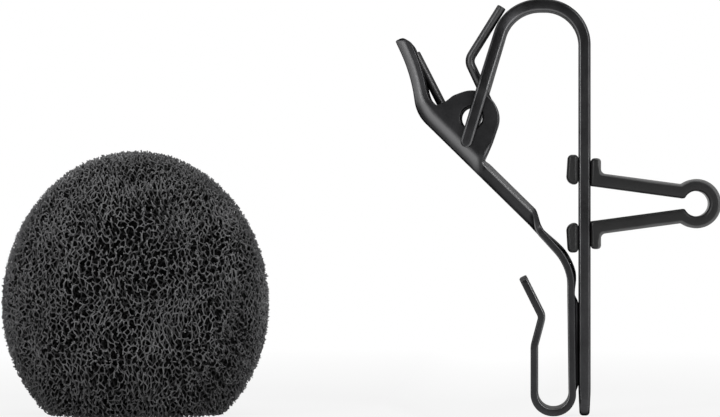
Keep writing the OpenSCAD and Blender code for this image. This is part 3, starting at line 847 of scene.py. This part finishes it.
# %% Edges of the band
TAB_N, BEND_N, ARM_N, JOINT_N, RING_N = 12, 12, 30, 12, 34
TAB_LIP = 0.5
tab_low = TAB_TOP - TAB_LIP
outer_half = [
    between([TAB_X, TAB_TOP], [TAB_X, tab_low], TAB_N),
    between([TAB_X, tab_low], [TAB_X, tab_centre[1]], TAB_N),
    arc(tab_centre, TAB_R, -np.pi, down, BEND_N),
    between(tab_centre + arc([0, 0], TAB_R, down, down, 1)[0], joint_centre - JOINT_R * fall_up, ARM_N),
    arc(joint_centre, JOINT_R, down, to_ring, JOINT_N),
    arc([RING_X, 0], RING_R, to_ring + np.pi, 0, RING_N),
]
inner_half = [
    between([FACE_X, TAB_TOP], [FACE_X, tab_low], TAB_N),
    between([FACE_X, tab_low], [FACE_X, foot_centre[1]], TAB_N),
    arc(foot_centre, FOOT_R, -np.pi, down, BEND_N),
    between(foot_centre + arc([0, 0], FOOT_R, down, down, 1)[0], mouth_centre - MOUTH_R * fall_up, ARM_N),
    arc(mouth_centre, MOUTH_R, down, to_bore, JOINT_N),
    arc([RING_X, 0], BORE_R, to_bore + np.pi, 0, RING_N),
]


def band_edge(parts):
    """A band's edge from its upper half: the parts joined, then their mirror image in reverse."""
    half = np.concatenate([parts[0], *[part[1:] for part in parts[1:]]])
    return np.concatenate([half, half[-2::-1] * [1, -1]])


outer_edge, inner_edge = band_edge(outer_half), band_edge(inner_half)
print("points along the band:", len(outer_edge))

# %% [markdown]
# The mould's edges are soft, so the section has round corners and grows from nothing at both ends. The
# pads on the other side of the wire are D-shaped plates. Their outline is drawn in a little towards the
# front and the back, ring by ring, and a short neck between the wire's legs joins each to its tab.

# %% Band
SOFT = 0.34
END_SHARE, BAND_ROUND = 0.9, 0.9
centre_xz = (outer_edge + inner_edge) / 2
half_band = np.linalg.norm(outer_edge - inner_edge, axis=1) / 2
band_at = travel(centre_xz)
band_end = np.minimum(band_at, band_at[-1] - band_at)
shrink = end_cut(band_end, SOFT)
path = np.stack([centre_xz[:, 0], 0 * band_at, centre_xz[:, 1] + RING_Z], axis=-1) + CLIP
out_of = unit(outer_edge - inner_edge)
band_side = np.stack([out_of[:, 0], 0 * band_at, out_of[:, 1]], axis=-1)
half_left = half_band - END_SHARE * shrink
corner_r = np.minimum(SOFT, BAND_ROUND * half_left)
across_band, through_band, near_corner = rounded_section(half_left, HOLDER_DEPTH / 2 - shrink, corner_r)
band_points = path[:, None] + across_band[..., None] * band_side[:, None]
band_points = band_points + through_band[..., None] * [0, 1, 0]
band_faces = [grid(*across_band.shape, around=True)]
lid = np.arange(across_band.shape[1])[None]
band_faces += [lid[:, ::-1], lid + across_band.size - across_band.shape[1]]
band_points = band_points.reshape(-1, 3)
ring_body = (band_points, outward(band_points, band_faces))
print("band in mm:", round(band_at[-1], 1))


# %% Pads, necks and the holder's piece
def closed_outline(corners, radii, step=0.12, turn_step=0.12):
    """A closed outline with round corners, which starts halfway along its last side."""
    corners = np.asarray(corners, float)
    start = (corners[-1] + corners[0]) / 2
    return rounded_path([start, *corners, start], radii, step, turn_step)[:-1]


def moulded(outline, depth, edge, steps=7):
    """A plate with an outline in the side view, which runs anticlockwise, and round edges.

    Ring by ring, the outline moves inwards by edge times (1 - sin) while it nears the middle by
    edge times (1 - cos), through a quarter turn.
    """
    along = unit(np.roll(outline, -1, axis=0) - np.roll(outline, 1, axis=0))
    inward = np.stack([-along[:, 1], along[:, 0]], axis=-1)
    turn = np.linspace(0, np.pi / 2, steps)
    drawn_in = edge * (1 - np.sin(turn))
    level = -depth / 2 + edge * (1 - np.cos(turn))
    drawn_in = np.concatenate([drawn_in, drawn_in[::-1]])
    level = np.concatenate([level, -level[::-1]])
    flat = outline + drawn_in[:, None, None] * inward
    depths = np.broadcast_to(level[:, None], flat.shape[:2])
    points = np.stack([flat[..., 0], depths, flat[..., 1] + RING_Z], axis=-1).reshape(-1, 3) + CLIP
    lid = np.arange(len(outline))[None]
    faces = [grid(2 * steps, len(outline), around=True), lid[:, ::-1], lid + (2 * steps - 1) * len(outline)]
    return points, outward(points, faces)


PAD_LOW, PAD_TOP, PAD_X = 1.72, 4.25, -1.625
PAD_CORNERS = [[PAD_X, PAD_LOW], [-FACE_X, PAD_LOW - 0.08], [-FACE_X, PAD_TOP], [PAD_X + 0.16, PAD_TOP]]
PAD_ROUND = [0.7, 0.36, 0.36, 0.4]
NECK_CORNERS = [[-1.1, 2.11], [1.0, 2.11], [1.0, 3.53], [-1.1, 3.53]]
NECK_ROUND, NECK_DEPTH, NECK_EDGE = 0.12, 1.1, 0.1
pad_outline = closed_outline(PAD_CORNERS, PAD_ROUND)
neck_outline = closed_outline(NECK_CORNERS, [NECK_ROUND] * 4)
plates = [(pad_outline, HOLDER_DEPTH, SOFT), (neck_outline, NECK_DEPTH, NECK_EDGE)]
upper_half = [moulded(*plate) for plate in plates]
lower_half = [moulded(outline[::-1] * [1, -1], *sizes) for outline, *sizes in plates]
holder_mesh = mesh_from("holder", *joined(ring_body, *upper_half, *lower_half))
holder = make_piece("holder", holder_mesh, "mic_holder")
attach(holder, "holder")
even_normals(holder)
# Painted highlight: the outer corners of the band are marked to be paler.
mark_points(holder_mesh, "paleness", near_corner * (across_band > 0))

# %% [markdown]
# ## The foam windscreen
# Open-cell foam is a net of thin struts around cells about half a millimetre wide, taller than they are
# wide, because the foam rises as it sets. A bump or a printed pattern would leave the outline smooth.
# So the net itself is modelled. The cells start as a stack of fourteen-sided cells, the shape of bubbles
# pressed together, which fills space evenly. Bending the whole stack and shaking each corner makes it
# irregular. Only the outer 1.35 mm is made, over a dark core, because little light comes back from deeper.


# %% Depth below the skin
SCREEN_X = -19.755
SCREEN_R, BELLY_Z, DOME, BASE_R = 11.65, 9.6, 13.45, 7.7
SOCKET_R, SOCKET_DEPTH = 2.9, 13.0
BELLY_DEPTH = BELLY_Z / np.sqrt(1 - (BASE_R / SCREEN_R) ** 2)
BASE_SHARE, SOCKET_SHARE = 2.0, 2.5
LEAST_SLOPE = 1e-3


def depth_in_foam(points):
    """Depth below the nearest skin, which is the ball, the base or the socket.

    Below the ball it is (1 - f) / |slope of f|, where f is 1 on the two half ellipses. The base and the
    socket count their depth as more than it is, so that their net is thinner.
    """
    r = np.hypot(points[:, 0] - SCREEN_X, points[:, 1])
    z = points[:, 2]
    tall = np.where(z > BELLY_Z, DOME, BELLY_DEPTH)
    f = (r / SCREEN_R) ** 2 + ((z - BELLY_Z) / tall) ** 2
    slope = 2 * np.hypot(r / SCREEN_R**2, (z - BELLY_Z) / tall**2)
    skin = (1 - f) / np.maximum(slope, LEAST_SLOPE)
    out_of_socket = np.maximum(r - SOCKET_R, z - SOCKET_DEPTH)
    return np.minimum(np.minimum(skin, BASE_SHARE * z), SOCKET_SHARE * out_of_socket)


print("deepest belly of the whole ball in mm:", round(BELLY_DEPTH, 2))

# %% Struts of one block
quarters = np.stack(np.meshgrid(*[np.arange(4)] * 3, indexing="ij"), axis=-1).reshape(-1, 3)


def is_corner(spots):
    """True where a spot of the quarter grid is a cell's corner: 0, 2 and an odd number, in any order."""
    ordered = np.sort(spots % 4, axis=-1)
    return (ordered == [0, 1, 2]).all(-1) | (ordered == [0, 2, 3]).all(-1)


signs = np.array([[1, 1, 0], [1, -1, 0], [1, 0, 1], [1, 0, -1], [0, 1, 1], [0, 1, -1]])
first = np.repeat(quarters[is_corner(quarters)], len(signs), axis=0)
second = first + np.tile(signs, (len(first) // len(signs), 1))
joins = is_corner(second)
first, second = first[joins], second[joins]
print("struts in one block of the stack:", len(first))

# %% Bending the stack
CELL = np.array([0.7, 0.7, 1.1])
BALL_MIDDLE = np.array([SCREEN_X, 0, 11.5])
WAVE_COUNT = 9
WAVE_RATES = (0.8, 2.2)
PUSH = 0.11
rng = np.random.default_rng(7)

turn = np.radians(21)
tilt = np.radians(5)
about_z = np.array([[np.cos(turn), -np.sin(turn), 0], [np.sin(turn), np.cos(turn), 0], [0, 0, 1]])
about_x = np.array([[1, 0, 0], [0, np.cos(tilt), -np.sin(tilt)], [0, np.sin(tilt), np.cos(tilt)]])
lean_stack = about_x @ about_z
waves = rng.normal(0, 1, (WAVE_COUNT, 3))
waves = unit(waves) * rng.uniform(*WAVE_RATES, (WAVE_COUNT, 1))
pushes = rng.normal(0, PUSH, (WAVE_COUNT, 3))
phases = rng.uniform(0, 2 * np.pi, WAVE_COUNT)


def in_ball(spots):
    """Spots of the stack's quarter grid in the pair's frame, scaled, leant and bent.

    The bend adds, for each wave, the sine of (place times the wave's rate + phase) times its push.
    """
    p = spots / 4 * CELL @ lean_stack.T
    return p + np.sin(p @ waves.T + phases) @ pushes + BALL_MIDDLE


print("waves that bend the stack:", len(waves))

# %% Struts near the skin
NET_DEPTH = 1.35
BALL_REACH, BLOCK_ROOM = 14.5, 1.6
SHAKE = 0.072
MISSING = 0.05
FUZZ, FUZZ_FROM = 0.2, 0.4
LEAST_STRUT = 0.04

blocks = np.ceil(BALL_REACH / CELL).astype(int)
block = np.stack(np.meshgrid(*[np.arange(-n, n) for n in blocks], indexing="ij"), axis=-1).reshape(-1, 3)
block_depth = depth_in_foam(in_ball(4 * block + 2.0))
block = block[(block_depth > -BLOCK_ROOM) & (block_depth < NET_DEPTH + BLOCK_ROOM)]
first = (4 * block[:, None] + first).reshape(-1, 3)
second = (4 * block[:, None] + second).reshape(-1, 3)
spots, ends = np.unique(np.concatenate([first, second]), axis=0, return_inverse=True)
knots = in_ball(spots.astype(float)) + rng.normal(0, SHAKE, spots.shape)
knot_depth = depth_in_foam(knots)
first, second = ends.reshape(2, -1)
turned_round = knot_depth[first] < knot_depth[second]
deep, shallow = np.where(turned_round, second, first), np.where(turned_round, first, second)
in_net = (knot_depth[deep] > 0) & (knot_depth[shallow] < NET_DEPTH)
shown = in_net & (rng.random(len(deep)) > MISSING)
deep, shallow = deep[shown], shallow[shown]
print("struts in the net:", len(deep))

# %% Struts cut at the skin
strut_from, strut_to = knots[deep], knots[shallow]
inside = knot_depth[deep] / np.maximum(knot_depth[deep] - knot_depth[shallow], TINY)
length_of = np.linalg.norm(strut_to - strut_from, axis=1)
fuzz = rng.random(len(deep)) ** 2 * FUZZ * (strut_from[:, 2] > FUZZ_FROM) / length_of
kept_part = np.minimum(1, inside + fuzz)
strut_to = strut_from + (strut_to - strut_from) * kept_part[:, None]
long_enough = kept_part * length_of > LEAST_STRUT
strut_from, strut_to = strut_from[long_enough], strut_to[long_enough]
strut_depth = (knot_depth[deep] + np.maximum(knot_depth[shallow], 0))[long_enough] / 2
order = np.argsort(strut_depth)
strut_from, strut_to, strut_depth = strut_from[order], strut_to[order], strut_depth[order]
print("struts that are long enough:", len(strut_from))

# %% Struts as slim prisms
OUTER_DEPTH = 0.5
OUTER_STRUT, INNER_STRUT = (4, 0.078, 0.04), (2, 0.068, 0.068)
THICKNESS = (0.75, 1.3)
STEEP = 0.8


def prisms(start, stop, levels, knot_r, waist_r):
    """The rings of three-sided struts, which are thicker at both ends than at the waist.

    A ring at a share t of the length has the radius waist + (knot - waist) times (2t - 1) squared.
    """
    count = len(start)
    along = unit(stop - start)
    helper = np.where(np.abs(along[:, 2:]) < STEEP, [0, 0, 1], [1, 0, 0])
    across = unit(np.cross(along, helper))
    other = np.cross(along, across)
    angle = rng.uniform(0, 2 * np.pi, (count, 1)) + np.arange(3) * 2 * np.pi / 3
    share = np.linspace(0, 1, levels)
    scale = rng.uniform(*THICKNESS, (count, 1))
    radius = scale * (waist_r + (knot_r - waist_r) * (2 * share - 1) ** 2)
    ring = np.cos(angle)[..., None] * across[:, None] + np.sin(angle)[..., None] * other[:, None]
    centre = start[:, None] + (stop - start)[:, None] * share[:, None]
    points = centre[:, :, None] + radius[..., None, None] * ring[:, None]
    points[..., 2] = np.maximum(points[..., 2], 0)
    return points


def closed(rings):
    """Points and faces of struts with closed ends, from their rings."""
    corner = np.arange(rings[..., 0].size).reshape(rings.shape[:3])
    right = np.roll(corner, -1, axis=2)
    walls = np.stack([corner[:, :-1], right[:, :-1], right[:, 1:], corner[:, 1:]], axis=-1)
    lids = np.stack([corner[:, 0, ::-1], corner[:, -1]], axis=1)
    return rings.reshape(-1, 3), [walls.reshape(-1, 4), lids.reshape(-1, 3)]


near_skin = strut_depth < OUTER_DEPTH
outer_rings = prisms(strut_from[near_skin], strut_to[near_skin], *OUTER_STRUT)
inner_rings = prisms(strut_from[~near_skin], strut_to[~near_skin], *INNER_STRUT)
print("struts near the skin:", len(outer_rings), "and below them:", len(inner_rings))

# %% [markdown]
# The finish needs two things besides the shape. One number tells how deep each point lies, and the finish
# paints the deeper struts darker with it. This is painted shade, because this thin net takes less light
# from its deep struts than a whole foam does. A map gives each strut a small square of its own, in order of
# depth, so that the finish can be stored as a picture with no strut lying over another.


# %% Map of the struts
MAP_EDGE = 0.1


def strut_squares(count, levels, first, across):
    """Where the corners of the struts' walls and lids lie on a map of small squares.

    Strut number n has the square in column n mod across and row n // across. Its three walls lie side by
    side there, and its length runs upwards.
    """
    number = first + np.arange(count)
    square = np.stack([number % across, number // across], axis=-1)[:, None]
    level, side = np.meshgrid(np.arange(levels - 1), np.arange(3), indexing="ij")
    wall_u = (side[..., None] + [0, 1, 1, 0]) / 3
    wall_v = (level[..., None] + [0, 0, 1, 1]) / (levels - 1)
    walls = np.stack([wall_u, wall_v], axis=-1).reshape(-1, 2)
    lids = np.array([[0, 0], [0.5, 0.1], [1, 0], [0, 1], [0.5, 0.9], [1, 1]])
    inside = [MAP_EDGE + corners * (1 - 2 * MAP_EDGE) for corners in (walls, lids)]
    return [((square + corners) / across).reshape(-1, 2) for corners in inside]


# %% [markdown]
# The net is kept as eight segments of the ball, like those of an orange, so that no mesh is too heavy to
# open. A strut belongs to the segment that its middle lies in, and none is cut.


# %% Segments of the net
SEGMENTS = 8


def segment_of(rings):
    """The number of the segment that each strut's middle lies in, counted by azimuth."""
    middle = rings.mean(axis=(1, 2))
    azimuth = np.arctan2(middle[:, 1], middle[:, 0] - SCREEN_X)
    return np.floor((azimuth / (2 * np.pi) + 0.5) * SEGMENTS).astype(int) % SEGMENTS


def net_segment(name, outer, inner):
    """A piece made of some of the net's struts, with its depths and its map."""
    points, faces = joined(closed(outer), closed(inner))
    piece = make_piece(name, mesh_from(name, points, faces), "foam_windscreen")
    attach(piece, "bow")
    mark_points(piece.data, "deep", np.clip(depth_in_foam(points) / NET_DEPTH, 0, 1))
    across = int(np.ceil(np.sqrt(len(outer) + len(inner))))
    places = strut_squares(len(outer), outer.shape[1], 0, across)
    places += strut_squares(len(inner), inner.shape[1], len(outer), across)
    places = np.concatenate(places).astype(np.float32)
    piece.data.uv_layers.new(name="OFBake").data.foreach_set("uv", places.ravel())
    return piece


outer_segment, inner_segment = segment_of(outer_rings), segment_of(inner_rings)
net = []
for number in range(SEGMENTS):
    outer = outer_rings[outer_segment == number]
    inner = inner_rings[inner_segment == number]
    net.append(net_segment(f"foam_segment_{number + 1}", outer, inner))

# %% [markdown]
# The core is a turned shape that follows the skin from inside, with the socket for the microphone's head
# in its base. Near the base it comes closer to the skin, so that no white table shows through the net. Its
# near-black colour is painted shade, for the deeper foam that isn't modelled.

# %% Core, dark as painted shade
CORE_GAP, FOOT_GAP, FOOT_ARC = 1.3, 0.55, 0.35
CORE_BASE, CORE_SOCKET = 0.42, 0.36
SOCKET_LIP, SOCKET_ROUND = 0.3, 0.4
CORE_ROWS, CORE_SIDES = 60, 120
foot_angle = -np.arcsin((BELLY_Z - CORE_BASE) / (BELLY_DEPTH - FOOT_GAP))
core_angle = np.linspace(np.pi / 2, foot_angle, CORE_ROWS)
core_gap = np.interp(core_angle, [foot_angle, foot_angle + FOOT_ARC], [FOOT_GAP, CORE_GAP])
core_tall = np.where(core_angle > 0, DOME, BELLY_DEPTH) - core_gap
core_r = (SCREEN_R - core_gap) * np.cos(core_angle)
core_z = BELLY_Z + core_tall * np.sin(core_angle)
wall_r, wall_top = SOCKET_R + CORE_SOCKET, SOCKET_DEPTH + CORE_SOCKET
lip_z, round_z = CORE_BASE + SOCKET_LIP, wall_top - SOCKET_ROUND
core_r = np.concatenate([core_r, [wall_r + SOCKET_LIP, wall_r, wall_r, wall_r - SOCKET_ROUND, 0]])
core_z = np.concatenate([core_z, [CORE_BASE, lip_z, round_z, wall_top, wall_top]])
core_points, core_faces = turned_solid(np.stack([core_r, core_z], axis=-1), CORE_SIDES)
core_mesh = mesh_from("foam_core", core_points + [SCREEN_X, 0, 0], core_faces)
core = make_piece("foam_core", core_mesh, "foam_windscreen")
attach(core, "bow")

# %% [markdown]
# ## Finishes
# A finish is a small program of shader nodes. Written as nodes one by one it is hard to read, so a class
# wraps a node's output and lets Python's operators add the Math nodes. Every other node comes from one
# method, which takes its type, its settings and what goes into its sockets.


# %% Shader expressions
class Shade:
    """An output in a node tree. Arithmetic on it adds Math nodes."""

    def __init__(self, tree, socket):
        self.tree = tree
        self.socket = socket

    def maths(self, operation, first, second):
        return self.tree.add("ShaderNodeMath", {"operation": operation}, {0: first, 1: second})

    def __add__(self, other):
        return self.maths("ADD", self, other)

    def __sub__(self, other):
        return self.maths("SUBTRACT", self, other)

    def __rsub__(self, other):
        return self.maths("SUBTRACT", other, self)

    def __mul__(self, other):
        return self.maths("MULTIPLY", self, other)

    __radd__ = __add__
    __rmul__ = __mul__


class Tree:
    """A node tree, cleared, with one method that adds a node of any type."""

    def __init__(self, owner):
        owner.use_nodes = True
        self.nodes = owner.node_tree.nodes
        self.links = owner.node_tree.links
        self.nodes.clear()

    def add(self, kind, settings=None, sockets=None, output=0):
        """A new node's output. Its settings are set first, then its sockets get values or links."""
        node = self.nodes.new(kind)
        for name, value in (settings or {}).items():
            setattr(node, name, value)
        for name, value in (sockets or {}).items():
            if isinstance(value, Shade):
                self.links.new(value.socket, node.inputs[name])
            else:
                node.inputs[name].default_value = value
        return Shade(self, node.outputs[output]) if node.outputs else node

    def between(self, share, low, high):
        """A colour that passes from low to high as a share goes from 0 to 1. Either may be an output."""
        low, high = [end if isinstance(end, Shade) else (*end, 1) for end in (low, high)]
        colours = {"Factor": share, 6: low, 7: high}
        return self.add("ShaderNodeMix", {"data_type": "RGBA"}, colours, output=2)

    def ranged(self, value, low, high, to_low, to_high):
        """A value's range, stretched and held between two others."""
        sockets = {"Value": value, "From Min": low, "From Max": high, "To Min": to_low, "To Max": to_high}
        return self.add("ShaderNodeMapRange", {"clamp": True}, sockets)

    def noise(self, scale, detail=2.0):
        """Soft noise on the piece's own coordinates, with a scale in patches a metre."""
        where = self.add("ShaderNodeTexCoord", output=3)
        return self.add("ShaderNodeTexNoise", {}, {"Vector": where, "Scale": scale, "Detail": detail})

    def surface(self, sockets):
        """A shader with these sockets, as the material's surface."""
        shader = self.add("ShaderNodeBsdfPrincipled", {}, sockets)
        self.add("ShaderNodeOutputMaterial", {}, {"Surface": shader})


def finish(name, *pieces):
    """A new material on one piece or several, and its node tree."""
    material = bpy.data.materials.new(name)
    for piece in pieces:
        piece.data.materials.append(material)
    return material, Tree(material)


# %% [markdown]
# The metal parts are steel with a thin black satin coat. It is nearly black face on, and it shows soft
# highlights along every rounded edge. Fine grain breaks the highlights up, and broad patches vary the
# gloss. The colour is greyer along the marked edges and bends. This is partly a coat that rubs thin, and
# partly painted highlight for the light that edges and folds catch.


# %% Black steel
def black_steel(name, piece, dark, grey, roughness, pale_strength):
    """Satin black steel: base colour and gloss from noise. It is greyer where the piece is marked, for wear
    and for painted highlight along its edges and bends.
    """
    material, tree = finish(name, piece)
    broad = tree.noise(420.0, 3.0)
    grain = tree.noise(9000.0, 2.0)
    fine = tree.noise(26000.0, 1.0)
    paleness = tree.add("ShaderNodeAttribute", {"attribute_name": "paleness"}, output=2)
    pale_mix = tree.ranged(paleness * pale_strength + (broad - 0.5) * 0.2 + (grain - 0.5) * 0.2, 0.05, 1.05, 0.0, 1.0)
    patch = tree.ranged(broad * 0.6 + grain * 0.4, 0.35, 0.65, 0.0, 1.0)
    coat = tree.between(patch, [0.8 * c for c in dark], [1.2 * c for c in dark])
    # Wear and painted highlight: where the piece is marked, the coat passes to grey.
    colour = tree.between(pale_mix, coat, grey)
    satin = tree.ranged(broad * 0.5 + fine * 0.5, 0.3, 0.7, roughness - 0.05, roughness + 0.07)
    gloss = satin + pale_mix * 0.12
    height = grain * 0.6 + fine * 0.4
    bump = tree.add("ShaderNodeBump", {}, {"Strength": 0.05, "Distance": 0.00002, "Height": height})
    sockets = {"Base Color": colour, "Roughness": gloss, "Normal": bump}
    sockets |= {"Metallic": 1.0, "Specular Tint": (0.12, 0.12, 0.12, 1)}
    tree.surface(sockets)
    print("steel finish:", material.name)


black_steel("bow_black", bow, (0.053, 0.053, 0.055), (0.25, 0.25, 0.253), 0.3, 0.6)
black_steel("lever_black", lever, (0.05, 0.05, 0.052), (0.2, 0.2, 0.203), 0.32, 1.0)
black_steel("spring_black", spring, (0.075, 0.075, 0.076), (0.1, 0.1, 0.1), 0.4, 0.0)


# %% [markdown]
# The holder's plastic is duller, with the fine even grain of a spark-eroded mould. Its outer rounded edges
# are paler: a painted highlight for the light they catch.

# %% Black plastic
material, tree = finish("holder_matt", holder)
broad = tree.noise(600.0, 3.0)
grain = tree.noise(7000.0, 3.0)
patch = tree.ranged(broad * 0.5 + grain * 0.5, 0.35, 0.65, 0.0, 1.0)
plain = tree.between(patch, (0.006, 0.006, 0.006), (0.011, 0.011, 0.0113))
paleness = tree.add("ShaderNodeAttribute", {"attribute_name": "paleness"}, output=2)
pale_mix = tree.ranged(paleness + (broad - 0.5) * 0.6, 0.2, 1.0, 0.0, 1.0)
# Painted highlight: along the marked outer edges the colour passes to pale grey.
colour = tree.between(pale_mix, plain, (0.12, 0.12, 0.12))
gloss = tree.ranged(grain, 0.3, 0.7, 0.36, 0.46)
bump = tree.add("ShaderNodeBump", {}, {"Strength": 0.22, "Distance": 0.00003, "Height": grain})
tree.surface({"Base Color": colour, "Roughness": gloss, "Normal": bump, "Specular IOR Level": 0.4})
print("plastic finish:", material.name)

# %% [markdown]
# Foam is dull charcoal. Its struts are lighter where dust and handling have greyed them, in patches a few
# cells wide, and a painted shade makes them darker towards the base. The deeper struts are painted darker
# as shade, and the core behind them is nearly black, which is painted shade as well.

# %% Charcoal foam
material, tree = finish("foam_charcoal", *net)
broad = tree.noise(260.0, 2.0)
small = tree.noise(2200.0, 2.0)
where = tree.add("ShaderNodeTexCoord", output=3)
height = tree.add("ShaderNodeSeparateXYZ", {}, {0: where}, output=2)
# Painted shade: the greyed patches fade out towards the base, so the struts are darker low down.
base_shade = tree.ranged(height, 0.0, 0.009, 0.13, 0.0)
patch = tree.ranged(broad * 0.45 + small * 0.55 - base_shade, 0.3, 0.7, 0.0, 1.0)
lit = tree.between(patch, (0.105, 0.105, 0.107), (0.3, 0.3, 0.305))
# Painted shade: the deeper a point of the net lies, the nearer its colour comes to black.
deep = tree.add("ShaderNodeAttribute", {"attribute_name": "deep"}, output=2)
colour = tree.between(tree.ranged(deep, 0.03, 0.45, 0.0, 1.0), lit, (0.006, 0.006, 0.006))
gloss = tree.ranged(small, 0.3, 0.7, 0.62, 0.8)
tree.surface({"Base Color": colour, "Roughness": gloss, "Specular IOR Level": 0.15})
print("foam finish:", material.name)

# %% Core painted black as shade
material, tree = finish("foam_core_shade", core)
shade = tree.ranged(tree.noise(1800.0, 2.0), 0.3, 0.7, 0.0, 1.0)
# Painted shade: the core is nearly black, darker than the foam's own charcoal.
colour = tree.between(shade, (0.002, 0.002, 0.002), (0.005, 0.005, 0.005))
tree.surface({"Base Color": colour, "Roughness": 0.9, "Specular IOR Level": 0.0})
print("core finish:", material.name)

# %% [markdown]
# ## Table and light
# The pair stands on a white table before plain white. Two tall softboxes beside the camera light the
# fronts, two narrow ones at the sides draw the bright lines along the clip's edges, and a wide one hangs
# above. The side of the room where the camera stands is darker, which keeps the faces that look at the
# camera black. The table's own colour is a pale grey, so that it throws less light back at the foam. The
# camera sees it mixed with plain white, and far from the pair as white alone. The hook swings a little
# lower than the bow stands when the jaw opens, so a shallow groove of the hook's own reach runs across
# the table.

# %% Shape of the table
TABLE = 900.0
GROOVE_ROOM, GROOVE_POINTS = 0.15, 41
pivot_x, pivot_z = pivot_xz + CLIP[[0, 2]]
reach = np.linalg.norm(sheet_points[:, [0, 2]] - pivot_xz, axis=1).max() + GROOVE_ROOM
half_groove = np.sqrt(reach**2 - pivot_z**2)
across_groove = np.linspace(-half_groove, half_groove, GROOVE_POINTS)
groove = pivot_z - np.sqrt(reach**2 - across_groove**2)
table_x = np.concatenate([[-TABLE], pivot_x + across_groove, [TABLE]])
table_line = np.stack([table_x, 0 * table_x, np.pad(groove, 1)], axis=-1)
table_points = np.concatenate([table_line - [0, TABLE, 0], table_line + [0, TABLE, 0]])
table = bpy.data.objects.new("table", mesh_from("table", table_points, [grid(2, len(table_x))]))
table.data.shade_flat()
bpy.context.scene.collection.objects.link(table)
print("groove in mm:", round(2 * half_groove, 1), "wide and", round(-groove.min(), 2), "deep")


# %% White of the table
def background_rays(tree):
    """Two masks: rays from the camera, and rays that metal or glass has sent on."""
    camera_ray = tree.add("ShaderNodeLightPath")
    outputs = camera_ray.socket.node.outputs
    glossy = Shade(tree, outputs["Is Glossy Ray"])
    return camera_ray, camera_ray.maths("MAXIMUM", glossy, Shade(tree, outputs["Is Transmission Ray"]))


material, tree = finish("table_white", table)
where = tree.add("ShaderNodeTexCoord", output=3)
distance = tree.add("ShaderNodeVectorMath", {"operation": "LENGTH"}, {0: where}, output=1)
far = tree.ranged(distance, 0.045, 0.14, 0.86, 1.0)
camera_ray, mirrored_ray = background_rays(tree)
seen = camera_ray.maths("MAXIMUM", camera_ray, mirrored_ray)
matt = tree.add("ShaderNodeBsdfDiffuse", {}, {"Color": (0.7, 0.7, 0.7, 1)})
white = tree.add("ShaderNodeEmission", {}, {"Color": (1, 1, 1, 1), "Strength": 1.0})
shader = tree.add("ShaderNodeMixShader", {}, {0: far * seen, 1: matt, 2: white})
tree.add("ShaderNodeOutputMaterial", {}, {"Surface": shader})
print("table finish:", material.name)

# %% Room
world = bpy.data.worlds.new("room")
bpy.context.scene.world = world
tree = Tree(world)
direction = tree.add("ShaderNodeTexCoord", output=0)
towards_back = tree.add("ShaderNodeSeparateXYZ", {}, {0: direction}, output=1)
room = tree.ranged(towards_back, -0.85, 0.0, 0.05, 0.16)
behind = tree.ranged(towards_back, -0.35, 0.1, 0.0, 1.0)
camera_ray, mirrored_ray = background_rays(tree)
seen = camera_ray.maths("MAXIMUM", camera_ray, mirrored_ray * behind)
level = tree.add("ShaderNodeMix", {"data_type": "FLOAT"}, {"Factor": seen, 2: room, 3: 1.0})
shader = tree.add("ShaderNodeBackground", {}, {"Color": (1, 1, 1, 1), "Strength": level})
tree.add("ShaderNodeOutputWorld", {}, {"Surface": shader})
print("room:", world.name)


# %% Softboxes
def softbox(name, at, aim, width, height, power):
    """A rectangular lamp at a place in millimetres, facing a point."""
    lamp = bpy.data.lights.new(name, "AREA")
    lamp.shape = "RECTANGLE"
    lamp.size, lamp.size_y = width * MM, height * MM
    lamp.energy = power
    box = bpy.data.objects.new(name, lamp)
    bpy.context.scene.collection.objects.link(box)
    box.location = np.array(at) * MM
    box.rotation_euler = (Vector(aim) - Vector(at)).to_track_quat("-Z", "Y").to_euler()
    print(name, "of", width, "by", height, "mm")


MIDDLE = (0, 0, 18)
softbox("key_box", (-275, -360, 170), MIDDLE, 140, 300, 0.9)
softbox("fill_box", (275, -360, 170), MIDDLE, 140, 300, 1.0)
softbox("left_box", (-400, 0, 170), MIDDLE, 80, 320, 0.06)
softbox("right_box", (400, 0, 170), MIDDLE, 80, 320, 0.08)
softbox("top_box", (0, 60, 520), MIDDLE, 420, 420, 0.8)
bpy.context.scene.view_settings.view_transform = "Standard"
